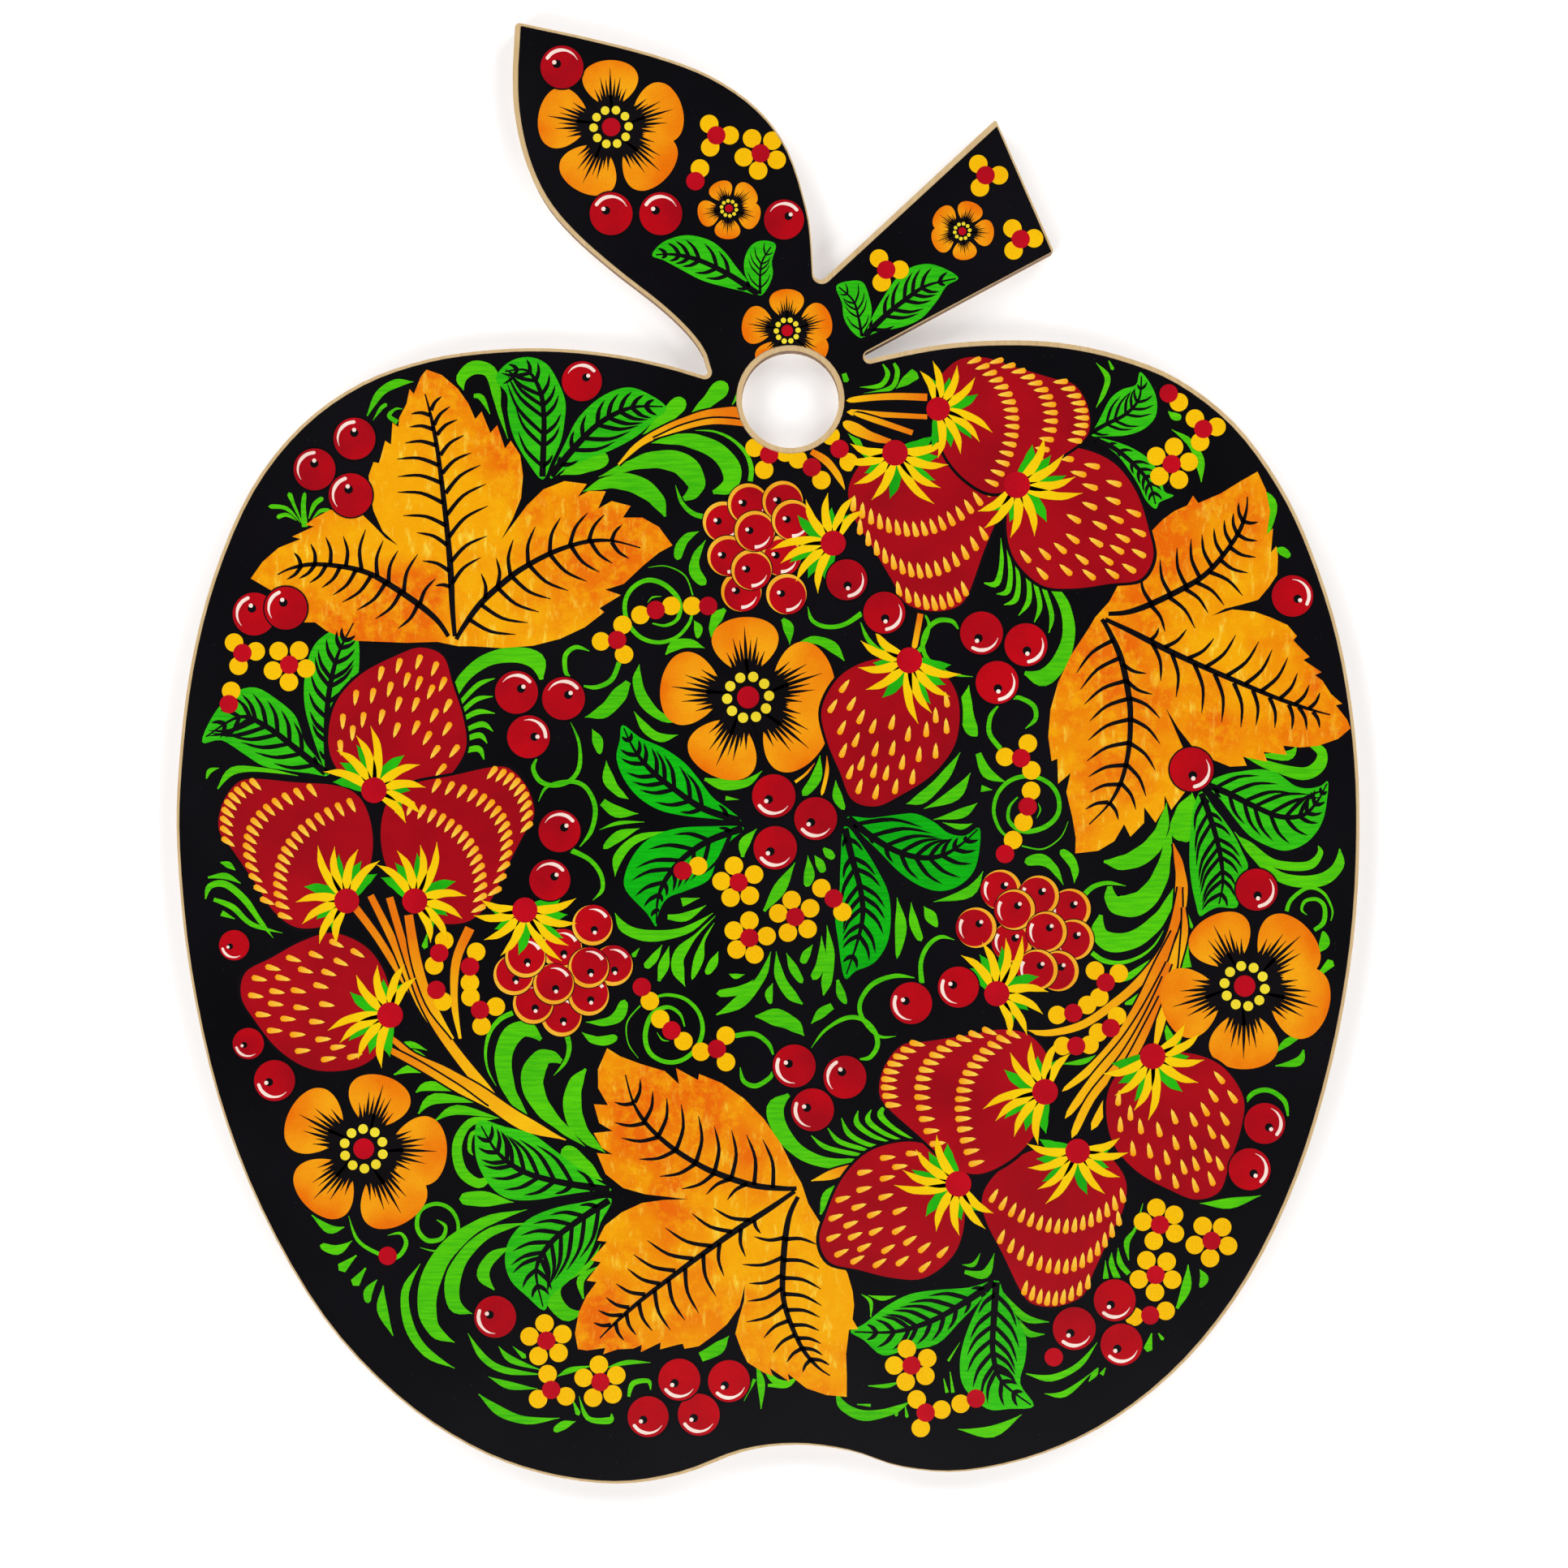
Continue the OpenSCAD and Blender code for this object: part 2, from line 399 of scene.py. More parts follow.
class Film:
    """One piece of paint, made of thin closed shapes that stand on the ground coat."""

    def __init__(self, place=HERE):
        self.place = place
        self.points, self.faces, self.paints, self.motif = [], [], [], []

    def slab(self, loops, caps, level, paint, local):
        """Closes the flat faces caps over the points of loops with a wall round them."""
        start = len(self.points)
        flat = trimmed([self.place(p) for p in loops])
        high = FACE + level * LIFT
        area = sum(a[0] * b[1] - b[0] * a[1] for a, b in zip(flat, flat[1:] + flat[:1]))
        order = range(len(flat)) if area > 0 else range(len(flat) - 1, -1, -1)
        self.points += [(x * MM, y * MM, FACE) for x, y in flat] + [(x * MM, y * MM, high) for x, y in flat]
        self.motif += local * 2
        n = len(flat)
        walk = list(order)
        walls = [(walk[i], walk[(i + 1) % n]) for i in range(n)]
        faces = [(a, b, b + n, a + n) for a, b in walls]
        for cap in caps:
            turned = cap if area > 0 else cap[::-1]
            faces.append(tuple(v + n for v in turned))
            faces.append(tuple(reversed(turned)))
        self.faces += [tuple(start + v for v in face) for face in faces]
        self.paints += [paint] * len(faces)

    def patch(self, outline, level, paint):
        """A flat shape inside a closed outline."""
        self.slab(outline, [tuple(range(len(outline)))], level, paint, [tuple(p) for p in outline])

    def disc(self, x, y, r, level, paint, steps=28):
        self.patch(ring(x, y, r, steps), level, paint)

    def stroke(self, spine, widths, level, paint, blunt=False, steps=5):
        """A brush stroke whose width runs smoothly through the widths. A blunt one ends round."""
        line = smooth(spine, steps=steps)
        last = len(line) - 1
        left, right, local = [], [], []
        for i, (x, y) in enumerate(line):
            t = i / last
            ahead, behind = line[min(i + 1, last)], line[max(i - 1, 0)]
            dx, dy = ahead[0] - behind[0], ahead[1] - behind[1]
            length = math.hypot(dx, dy) or 1
            k = t * (len(widths) - 1)
            j = min(int(k), len(widths) - 2)
            ease = (1 - math.cos(math.pi * (k - j))) / 2
            half = (widths[j] + (widths[j + 1] - widths[j]) * ease) / 2
            if blunt and t > 0.8:
                half *= math.sqrt(max(1 - ((t - 0.8) / 0.2) ** 2, 0.0))
            half = max(half, 0.03)
            left.append((x - dy / length * half, y + dx / length * half))
            right.append((x + dy / length * half, y - dx / length * half))
            local.append(t)
        n = len(line)
        loop = right + left[::-1]
        caps = [(i, i + 1, 2 * n - 2 - i, 2 * n - 1 - i) for i in range(n - 1)]
        places = [(t, -1.0) for t in local] + [(t, 1.0) for t in local[::-1]]
        self.slab_strip(loop, caps, level, paint, places)

    def slab_strip(self, loop, caps, level, paint, places):
        """A stroke's slab, which is turned over whole when the motif is mirrored."""
        flat = trimmed([self.place(p) for p in loop])
        start, n = len(self.points), len(flat)
        high = FACE + level * LIFT
        self.points += [(x * MM, y * MM, FACE) for x, y in flat] + [(x * MM, y * MM, high) for x, y in flat]
        self.motif += places * 2
        faces = [(i, (i + 1) % n, (i + 1) % n + n, i + n) for i in range(n)]
        for cap in caps:
            faces.append(tuple(v + n for v in cap))
            faces.append(tuple(reversed(cap)))
        if self.place.mirror < 0:
            faces = [face[::-1] for face in faces]
        self.faces += [tuple(start + v for v in face) for face in faces]
        self.paints += [paint] * len(faces)

    def lay(self, name):
        """Makes the piece and fixes it to the board."""
        mesh = bpy.data.meshes.new(name)
        mesh.from_pydata(self.points, [], self.faces)
        names = list(dict.fromkeys(self.paints))
        for paint in names:
            mesh.materials.append(PAINT[paint])
        mesh.polygons.foreach_set("material_index", [names.index(p) for p in self.paints])
        motif = mesh.uv_layers.new(name="motif")
        plan = mesh.uv_layers.new(name="OFBake")
        xs, ys = [p[0] for p in self.points], [p[1] for p in self.points]
        side = max(max(xs) - min(xs), max(ys) - min(ys)) * 1.02
        for corner in mesh.loops:
            x, y, _ = self.points[corner.vertex_index]
            motif.data[corner.index].uv = self.motif[corner.vertex_index]
            plan.data[corner.index].uv = ((x - min(xs)) / side + 0.01, (y - min(ys)) / side + 0.01)
        mesh.update()
        piece = bpy.data.objects.new(name, mesh)
        bpy.context.collection.objects.link(piece)
        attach(piece, "root")
        return piece


# ---------------------------------------------------------------- motifs

def berry(film, x, y, r, thick, thin, lift=0.0):
    """A red berry. Its glint swings from the thick end round to the thin end."""
    film.disc(x, y, r + 0.3, BERRY - 0.3 + lift, "ink", 40)
    film.disc(x, y, r, BERRY + lift, "berry", 40)
    glint = [polar(x, y, 0.8 * r, thick + (thin - thick) * k / 6) for k in range(7)]
    film.stroke(glint, [0.16 * r, 0.17 * r, 0.1 * r, 0.02 * r], GLINT + lift, "glint", steps=3)
    film.disc(*glint[0], 0.08 * r, GLINT + lift + 0.1, "glint", 12)
    film.disc(*polar(x, y, 0.28 * r, thick), 0.2 * r, GLINT + lift, "ink", 20)
    film.disc(*polar(x, y, 0.42 * r, thick), 0.1 * r, SPOT + lift, "glint", 14)


CALYX_RAYS = [
    (-103, 9.4), (-84, 10.8), (-54, 10.6), (-28, 10.8), (8, 13.2), (23, 11.8), (48, 11.2), (75, 11)]
SEPAL_RAYS = [(-94, 7), (-62, 7.5), (-12, 9.5), (30, 10), (60, 9), (88, 8.6)]


def ray(film, degrees, length, bend, width, level, paint):
    """One pointed petal of a calyx, which leaves the middle and bends to one side."""
    spine = [polar(0, 0, length * s, degrees + bend * s * s) for s in (0.12, 0.4, 0.7, 1)]
    film.stroke(spine, [width * 0.75, width, width * 0.8, 0.05], level, paint, steps=4)


def calyx(name, x, y, turn, size=1.0, mirror=False, lift=0):
    """The green and yellow star on top of a fruit. Turn points it along the fruit."""
    film = Film(Place(x, y, turn - 180 if mirror else turn, size, mirror))
    for degrees, length in SEPAL_RAYS:
        ray(film, degrees, length, 10 if degrees > 0 else -10, 2.6, SEPAL + lift, "sepal")
    for degrees, length in CALYX_RAYS:
        ray(film, degrees, length, 14 if degrees > 0 else -14, 1.9, CALYX + lift, "calyx")
    film.disc(0, 0, 2.65, EYE + lift, "eye", 32)
    return film.lay(name)


# A strawberry with loose seeds and one with seeds in bands, hanging from the calyx at 0, 0.
LOOSE_FRUIT = [
    (-2, 0.6), (-9, -0.3), (-14.6, -3.6), (-18, -9.9), (-17, -16.3), (-14.2, -23.1), (-11.8, -28.6),
    (-7, -30), (-2.1, -27.9), (4.7, -23.5), (9.3, -17.4), (10.3, -10), (8.5, -4.4), (4, -1)]
LOOSE_SEEDS = [
    (-13.3, -5.3), (-15.7, -9.4), (-11.8, -8.9), (-9.9, -11.6), (-13.8, -13.8), (-7.4, -13.5),
    (-3.5, -12.7), (-10.9, -16.3), (-0.2, -15.1), (3.5, -14.2), (5.4, -11.3), (7.6, -8.1), (7.6, -13.5),
    (-13.5, -18.5), (-6.9, -18.2), (-3.4, -18), (2, -19.3), (5.4, -18.6), (-9.8, -21.1), (-1.4, -20.9),
    (-12.1, -22.9), (-7.2, -22.6), (-4.7, -23.1), (0.7, -23.9), (-10.2, -25.9), (-6.8, -27), (-2.8, -25.9)]
BANDED_FRUIT = [
    (1, 0.8), (-3.4, 0.2), (-7.2, -2.5), (-9.6, -7.5), (-8.5, -13.1), (-5.1, -18.6), (-0.6, -26.2),
    (2.1, -30.8), (7.2, -32.5), (12.3, -31.8), (15, -29), (18.2, -20.3), (21, -13), (21.4, -8), (19, -4),
    (14, -0.4), (8, 1.4)]
SEED_BANDS = [((-8.5, -10.4), (5, -15.6), (18.8, -7.6), 16), ((-7.2, -15.2), (5, -24.2), (18.1, -16.5), 15),
              ((0.7, -28), (8, -30.8), (14.2, -27.9), 9)]


# Which way each fruit hangs from its calyx, in degrees.
LOOSE_AXIS = -104
BANDED_AXIS = -74.5


def seed(film, x, y, axis, level, length, width):
    """A gold drop whose sharp end looks back at the calyx."""
    lean = math.degrees(math.atan2(y, x)) - axis
    lean = (lean + 180) % 360 - 180
    way = axis + 0.4 * lean
    start, end = polar(x, y, -length / 2, way), polar(x, y, length / 2, way)
    middle = ((start[0] + end[0]) / 2, (start[1] + end[1]) / 2)
    film.stroke([start, middle, end], [0.05, width * 0.7, width, width], level, "seed", blunt=True, steps=4)


INK_SPREAD = 1.045  # how much larger than the fruit its dark line is


def fruit_body(film, outline, level):
    """The red body and the dark line that parts it from a fruit below."""
    edge = smooth(outline, closed=True)
    x, y = (sum(p[axis] for p in edge) / len(edge) for axis in (0, 1))
    spread = [(x + (a - x) * INK_SPREAD, y + (b - y) * INK_SPREAD) for a, b in edge]
    film.patch(spread, level - 0.5, "ink")
    film.patch(edge, level, "fruit")


def loose_strawberry(number, x, y, turn=0, size=1.0, mirror=False, level=FRUIT, ahead=0):
    """A strawberry with scattered seeds. Ahead lifts its calyx over its neighbours."""
    film = Film(Place(x, y, turn, size, mirror))
    fruit_body(film, LOOSE_FRUIT, level)
    for place in LOOSE_SEEDS:
        seed(film, *place, LOOSE_AXIS, level + 1, 3.3, 1.15)
    film.lay(f"strawberry_{number}")
    lean = turn + (-180 - LOOSE_AXIS if mirror else LOOSE_AXIS)
    calyx(f"strawberry_calyx_{number}", x, y, lean, size, mirror, ahead)


def banded_strawberry(number, x, y, turn=0, size=1.0, mirror=False, level=FRUIT, ahead=0):
    """A strawberry with its seeds in three bands."""
    film = Film(Place(x, y, turn, size, mirror))
    fruit_body(film, BANDED_FRUIT, level)
    for start, middle, end, count in SEED_BANDS:
        for k in range(count):
            t = k / (count - 1)
            place = [a * (1 - t) * (1 - 2 * t) + b * 4 * t * (1 - t) + c * t * (2 * t - 1)
                     for a, b, c in zip(start, middle, end)]
            seed(film, *place, BANDED_AXIS, level + 1, 3.4, 1.2)
    film.lay(f"strawberry_{number}")
    lean = turn + (-180 - BANDED_AXIS if mirror else BANDED_AXIS)
    calyx(f"strawberry_calyx_{number}", x, y, lean, size, mirror, ahead)


# A petal along +X from the middle of its flower, and the turn and size of each of the five.
PETAL_SIDE = [(3.2, 0.7), (4.6, 1.8), (6.2, 3.8), (8.2, 5.3), (10.4, 5.7), (12.4, 4.5), (13.6, 1.7)]
PETALS = [(91, 1.0), (16, 1.1), (-42, 1.12), (-117, 1.07), (170, 1.1)]


def flower(number, x, y, turn=0, size=1.0):
    """An orange flower with five petals, black streaks, a ring of yellow dots and a red eye."""
    film = Film(Place(x, y, turn, size))
    outline = PETAL_SIDE + [(a, -b) for a, b in reversed(PETAL_SIDE)]
    for order, (degrees, reach) in enumerate(PETALS):
        petal = Film(Place(x, y, turn + degrees, size * reach))
        lift = 4 * HAIR * order
        petal.patch(smooth(outline, closed=True, steps=4), PETAL + lift, "petal")
        petal.stroke([(1.5, 0), (4, 0), (6.6, 0)], [3.2, 3.7, 0.5], STREAK + lift, "ink")
        for k in range(-6, 7):
            far = 12.1 - 0.72 * abs(k) - (1.4 if k % 2 else 0)
            swing = math.radians(9.5 * k)
            tip = (2.6 + (far - 2.6) * math.cos(swing), (far - 2.6) * math.sin(swing) * 0.8)
            root = (2.6, 0.22 * k)
            knee = ((root[0] + tip[0]) / 2, (root[1] + tip[1]) / 2)
            petal.stroke([root, knee, tip], [0.85, 0.6, 0.05], STREAK + lift + HAIR * k, "ink", steps=3)
        petal.lay(f"flower_{number}_petal_{order + 1}")
    film.disc(0, 0, 3.1, BLOSSOM_DOT, "ink", 32)
    for k in range(10):
        film.disc(*polar(0, 0, 3.6, 36 * k + 110), 0.88, BLOSSOM_EYE, "pale_dot", 18)
    film.disc(0, 0, 1.9, BLOSSOM_EYE, "eye", 28)
    film.lay(f"flower_{number}_eye")


# From the eye of a blossom to its dots: as a rule, where it is crowded, and with five dots.
DOT_GAP, TIGHT_GAP, FIVE_GAP = 3.3, 2.75, 3.55


def blossom(film, x, y, turns, gap=DOT_GAP, lift=0.0):
    """A small blossom: a red eye with yellow dots at the given turns and at a gap from it."""
    for k, degrees in enumerate(turns):
        film.disc(*polar(x, y, gap, degrees), 1.9, BLOSSOM_DOT + lift + HAIR * k, "dot", 24)
    film.disc(x, y, 1.9, BLOSSOM_EYE + lift, "eye", 24)


# The three-lobed amber leaf, where it lies at the upper left of the wreath.
AMBER_EDGE = [
    (-70.1, 78.8), (-71.3, 77.3), (-72.3, 74.8), (-72.7, 73.8), (-73.6, 74.8), (-74.2, 71.8), (-75.7, 68.9),
    (-75.9, 67), (-77.1, 67.9), (-77.4, 63.4), (-78.6, 64.2), (-79.5, 60.8), (-79.9, 59.6), (-81, 59.8),
    (-82, 57), (-81.6, 53.2), (-81, 49.8), (-79.1, 45.6), (-75.9, 42.6), (-78.5, 44.2), (-81, 46.8),
    (-83.5, 49.2), (-87, 49.8), (-89.9, 50), (-93.3, 48.2), (-94.9, 46.9), (-93.2, 46.6), (-97.7, 44.5),
    (-96, 44), (-100.5, 42.2), (-103.8, 39.3), (-106.2, 35.9), (-102.6, 33.8), (-98.5, 31.6), (-94.5, 28.6),
    (-95.3, 26.9), (-93, 26.9), (-90.7, 25.2), (-88, 24), (-84.4, 23.1), (-74.2, 22.7), (-67.9, 22.9),
    (-63.6, 22), (-60.9, 22), (-54.5, 21.6), (-48.2, 22.1), (-42.7, 23.5), (-37.6, 25.9), (-33.6, 29),
    (-34.6, 29.8), (-30.2, 32.5), (-33.4, 33.6), (-29.6, 34.8), (-25.8, 38.4), (-22.4, 41.2), (-19.6, 42.7),
    (-22.4, 46.5), (-25.8, 48.4), (-29.8, 48.4), (-28.2, 50.8), (-32.1, 51.8), (-34.9, 50.2), (-33.3, 53.8),
    (-36.8, 53.9), (-39.1, 52.6), (-37.2, 55.3), (-41.8, 55.9), (-46.1, 54.2), (-49.5, 50.9), (-52.4, 47),
    (-54.8, 43.8), (-52.4, 48.2), (-50.7, 52.4), (-50.3, 57), (-50.9, 61.3), (-52.8, 64.2), (-54, 62.6),
    (-55.6, 67.4), (-57, 65.8), (-58.8, 70.2), (-60.1, 68.6), (-61.5, 71.8), (-63.7, 74.9), (-67, 77.7)]
AMBER_RIBS = [
    [(-70.4, 73.8), (-69.2, 69.2), (-67.9, 62.5), (-66.8, 54), (-65.9, 46), (-65.2, 38), (-64.8, 30),
        (-64.3, 24)],
    [(-100.7, 36.7), (-97.9, 38), (-93.7, 38.8), (-88.6, 38.5), (-83.5, 37.5), (-79.3, 35.6), (-72.3, 31),
        (-68, 27.4), (-65.6, 24)],
    [(-26.2, 42.2), (-31.7, 43.6), (-36.3, 43.6), (-40.6, 42.6), (-44.8, 41), (-49, 38.8), (-52.8, 36.3),
        (-58.8, 31), (-62.5, 26), (-64, 23.4)],
]
# Each side vein leaves a rib and ends in the leaf: root, then tip.
AMBER_VEINS = [
    ((-69.3, 69.4), (-73.3, 69.7)), ((-68.7, 66.5), (-73.6, 67)), ((-68.1, 63.2), (-74.5, 63.7)),
    ((-67.5, 59.1), (-76.2, 60.4)), ((-67, 55.5), (-76, 56.8)), ((-66.7, 51.4), (-76.1, 53.6)),
    ((-66, 46.7), (-74.9, 48.8)), ((-65.8, 42.7), (-72.1, 45.3)), ((-65.4, 37.4), (-70.9, 39.5)),
    ((-65.2, 34.2), (-68.3, 34.4)), ((-69.2, 70.4), (-67, 73.3)), ((-68.6, 67.4), (-65.3, 71.2)),
    ((-68, 65.4), (-63.8, 68.5)), ((-67.3, 61.2), (-62.4, 65.3)), ((-66.9, 57.5), (-60.9, 61.7)),
    ((-66.2, 53.4), (-59, 59.2)), ((-65.9, 49), (-57.9, 55.3)), ((-65.6, 44.3), (-57.5, 50.8)),
    ((-65.1, 39.3), (-57.7, 44.6)), ((-64.9, 34.8), (-59, 40.2)), ((-95.9, 38.5), (-97.3, 41.2)),
    ((-93, 38.8), (-93.9, 43)), ((-89.9, 38.7), (-90.8, 44.4)), ((-86.7, 38.3), (-87.2, 44.6)),
    ((-83.4, 37.5), (-82.6, 46)), ((-80.2, 36.2), (-79, 43.7)), ((-77.9, 34.9), (-76, 41.6)),
    ((-74.8, 32.9), (-71.9, 40.9)), ((-71.5, 30.6), (-68.2, 35.9)), ((-95.8, 38.5), (-98.8, 35.7)),
    ((-93, 38.8), (-96.3, 35.9)), ((-90.7, 38.7), (-94.1, 35)), ((-87.8, 38.4), (-91.6, 34)),
    ((-84.6, 37.7), (-89.3, 32.5)), ((-81.4, 36.6), (-87.4, 31)), ((-78.4, 35.2), (-84.4, 29.4)),
    ((-75.3, 33.3), (-80.6, 27.6)), ((-71.8, 30.8), (-76, 25.6)), ((-32.1, 43.6), (-30, 46.9)),
    ((-36.8, 43.5), (-33.6, 49)), ((-40.7, 42.6), (-37, 49.4)), ((-44.8, 41), (-42.6, 48.4)),
    ((-49.2, 38.7), (-47.8, 46.5)), ((-52.8, 36.3), (-52.3, 43.9)), ((-55.6, 34), (-55.8, 40.1)),
    ((-58.1, 31.7), (-58.9, 36.9)), ((-32.1, 43.4), (-28.5, 40)), ((-36.4, 43.5), (-31.9, 39)),
    ((-40.4, 42.5), (-34.6, 37.2)), ((-44.8, 40.9), (-37.2, 35.3)), ((-49, 38.6), (-41, 33.4)),
    ((-52.5, 36.2), (-44.6, 31.7)), ((-55.5, 34), (-47, 29)), ((-59, 30.6), (-49.3, 26.8)),
    ((-61.5, 27.6), (-51.8, 24.4))]
WREATH_MIDDLE = (3.5, -12.8)
THIRDS = (0, 120, 240)


class Third(Place):
    """The wreath's motifs come three times round its middle."""

    def __init__(self, turn):
        super().__init__(0, 0, turn)
        x, y = super().__call__(WREATH_MIDDLE)
        self.origin = (WREATH_MIDDLE[0] - x, WREATH_MIDDLE[1] - y)


def amber_leaf(number, place):
    leaf = Film(place)
    leaf.patch(AMBER_EDGE, AMBER, "amber")
    for rib in AMBER_RIBS:
        leaf.stroke(rib, [0.3, 0.9, 1.1, 1.3, 0.9], VEIN, "ink")
    for root, tip in AMBER_VEINS:
        dx, dy = tip[0] - root[0], tip[1] - root[1]
        bend = 0.1 if dx * dy > 0 else -0.1
        knee = (root[0] + dx * 0.5 - dy * bend, root[1] + dy * 0.5 + dx * bend)
        leaf.stroke([root, knee, tip], [0.95, 0.8, 0.6, 0.15], VEIN, "ink", steps=4)
    leaf.lay(f"amber_leaf_{number}")


# Drupelets of the raspberry at the left, from the far ones to those by the calyx.
DRUPELETS = [(-31.9, -43.6), (-42.4, -54), (-48.2, -51.4), (-36.8, -49.7), (-52.2, -45.5), (-42.3, -40.2),
             (-36.8, -44), (-44, -47.4), (-49.8, -41.9), (-36.05, -35.3)]
RASPBERRY_EYE = (-49.9, -32.2)


def raspberry(number, place):
    film = Film(place)
    for k, (x, y) in enumerate(DRUPELETS):
        level = DRUPELET + 0.25 * k
        film.disc(x, y, 4.35, level, "ink", 36)
        film.disc(x, y, 4.15, level + 0.06, "rim", 36)
        film.disc(x + 0.18, y + 0.4, 3.78, level + 0.12, "berry", 36)
        film.disc(x + 0.4, y - 0.9, 0.75, level + 0.18, "ink", 16)
        film.disc(x + 0.5, y - 1.5, 0.4, level + 0.22, "glint", 12)
        shine = [polar(x, y, 3.3, 100 - 14 * s) for s in range(6)]
        film.stroke(shine, [0.1, 0.5, 0.7], level + 0.18, "glint", steps=2)
    film.lay(f"raspberry_{number}")
    x, y = place(RASPBERRY_EYE)
    calyx(f"raspberry_calyx_{number}", x, y, math.degrees(place.turn) - 76, 0.98)


# Green strokes and tendrils of one third of the wreath: spine, widths and whether the end is blunt.
THIRD_STROKES = [
    ([(-49, -74.9), (-52.2, -70.9), (-53.9, -66.7), (-54.3, -62), (-52.6, -57.9), (-49.5, -56.6),
        (-46.6, -58.8)], [0.1, 2.2, 3.2, 3.6, 4, 3.2, 0.8], False),
    ([(-37.6, -80.7), (-42.3, -76.8), (-46.1, -73), (-48.2, -68.8), (-48.2, -65.6), (-46.6, -62.9),
        (-44.6, -62.3), (-42.4, -63.3)], [0.1, 2, 3.4, 4.4, 4.8, 4, 2.6, 1], False),
    ([(-41.4, -57.6), (-40.8, -60.3), (-41.6, -63.3), (-44, -66.2)], [1.1, 1, 0.8, 0.1], False),
    ([(-33.4, -82), (-37.2, -78.9), (-39.5, -75.5), (-40.2, -71.7), (-39.5, -67.9), (-37.4, -64.8)],
        [0.1, 2.4, 3.6, 3.8, 3, 0.5], False),
    ([(-55.8, -68.3), (-57.5, -65), (-58, -61.2), (-57.1, -57.3), (-55, -54.6), (-52.4, -53.3)],
        [0.1, 0.4, 0.6, 0.8, 1, 1], False),
    ([(-34, -87.7), (-37.6, -85.2), (-40.4, -82.6), (-42.4, -81.4)], [0.1, 3.4, 3.6, 2.6], True),
    ([(-37.4, -55.2), (-33.4, -55.2), (-30.6, -53.8), (-29.4, -50.6)], [0.1, 1.6, 2.4, 2], True),
    ([(-38.2, -57.3), (-35.9, -58.8), (-33.4, -59), (-30.9, -58.2)], [0.1, 1.6, 2, 1.6], True),
    ([(-17.1, -56.1), (-18.1, -53.5), (-20.7, -52.1), (-23.9, -53.8), (-25.2, -57.8), (-24.3, -61.4),
        (-21.3, -63.3), (-17.9, -63.1), (-14.8, -60.7), (-13.4, -56.9), (-14.3, -53.1), (-17.1, -50.4),
        (-20.7, -49.6), (-23.4, -50.2)], [0.3, 0.7, 1, 1, 0.9, 0.9, 0.9, 0.8, 0.7, 0.5], False),
    ([(-26.2, -51.8), (-28.9, -55.2), (-28.7, -59.5), (-26.6, -62.6)], [0.3, 0.3, 0.25, 0.1], False),
    ([(-22.8, -57.3), (-21.7, -58.8), (-20.3, -59.1)], [0.1, 0.35, 0.1], False),
    ([(-6.7, -58), (-2.9, -57.6), (0, -59.5), (1.1, -61.9)], [1, 1, 0.9, 0.4], False),
    ([(-5.7, -64.5), (-5, -67.3), (-2.5, -68.3), (0.3, -66.7), (1, -65.4)], [0.2, 0.9, 1, 0.9, 0.6], False),
    ([(4.3, -70.1), (1.5, -73), (2.8, -77.7), (6.6, -81.9), (11.7, -84), (16.3, -84), (19.4, -83.5)],
        [0.8, 3.6, 3.2, 2.6, 2.2, 1.6, 0.2], False),
    ([(8.9, -78.5), (11.7, -80.8), (16.8, -82.1), (20.2, -82.5)], [0.2, 1, 0.9, 0.1], False),
    ([(12.3, -77), (14.5, -79.6), (18.5, -81), (21, -81.5)], [0.2, 1, 0.9, 0.1], False),
    ([(15.1, -74.9), (16.6, -78.1), (20.2, -80.2), (23.2, -80.6)], [0.2, 1.1, 0.9, 0.1], False),
    ([(18.5, -73.4), (18.3, -76), (21.4, -78.5), (25.7, -80)], [0.2, 1.2, 0.9, 0.1], False),
    ([(21.2, -73.2), (20.6, -75.5), (24, -78.1), (28.6, -79.8)], [0.2, 1.2, 0.9, 0.1], False),
    ([(24.4, -72.1), (23.1, -74.3), (26.1, -77.2), (30.7, -79.7)], [0.3, 1.3, 0.9, 0.1], False),
    ([(8.9, -60.5), (11.7, -56.9), (15.9, -54.4), (19.3, -54.6), (21.8, -56.9), (22.5, -59.9), (21, -62.4),
        (18.9, -62.8)], [0.1, 0.6, 0.9, 0.9, 0.9, 1, 0.9, 0.4], False),
    ([(30.1, -46.1), (26.1, -45.7), (21.8, -47.2), (19.3, -50.2), (18.9, -53.1), (20.6, -56.1),
        (23.1, -58.2), (26.3, -58.1)], [0.2, 0.9, 1, 0.9, 0.9, 0.8, 0.6, 0.1], False),
    ([(38.3, -38.3), (35.4, -37.7), (32.8, -39.6), (31.4, -43), (31.6, -47.2)], [0.1, 0.8, 0.9, 0.9, 1.1],
        False),
]
THIRD_BERRIES = [(5.4, -64.2, 4.4, 158, 272), (15.8, -66.5, 4.4, 120, 224), (9.15, -73.2, 4.4, 159, 263),
                 (29.4, -51.3, 4.3, 158, 270), (39.1, -48, 4.2, 158, 264)]
THIRD_BLOSSOMS = [(-25.9, -48, [-60]), (-19.8, -56.9, [135, -42]), (-10.5, -60.7, [56, 190, -55]),
                  (-61.2, -43.8, [67, -90]), (-59.1, -52.7, [127, 12, -85])]


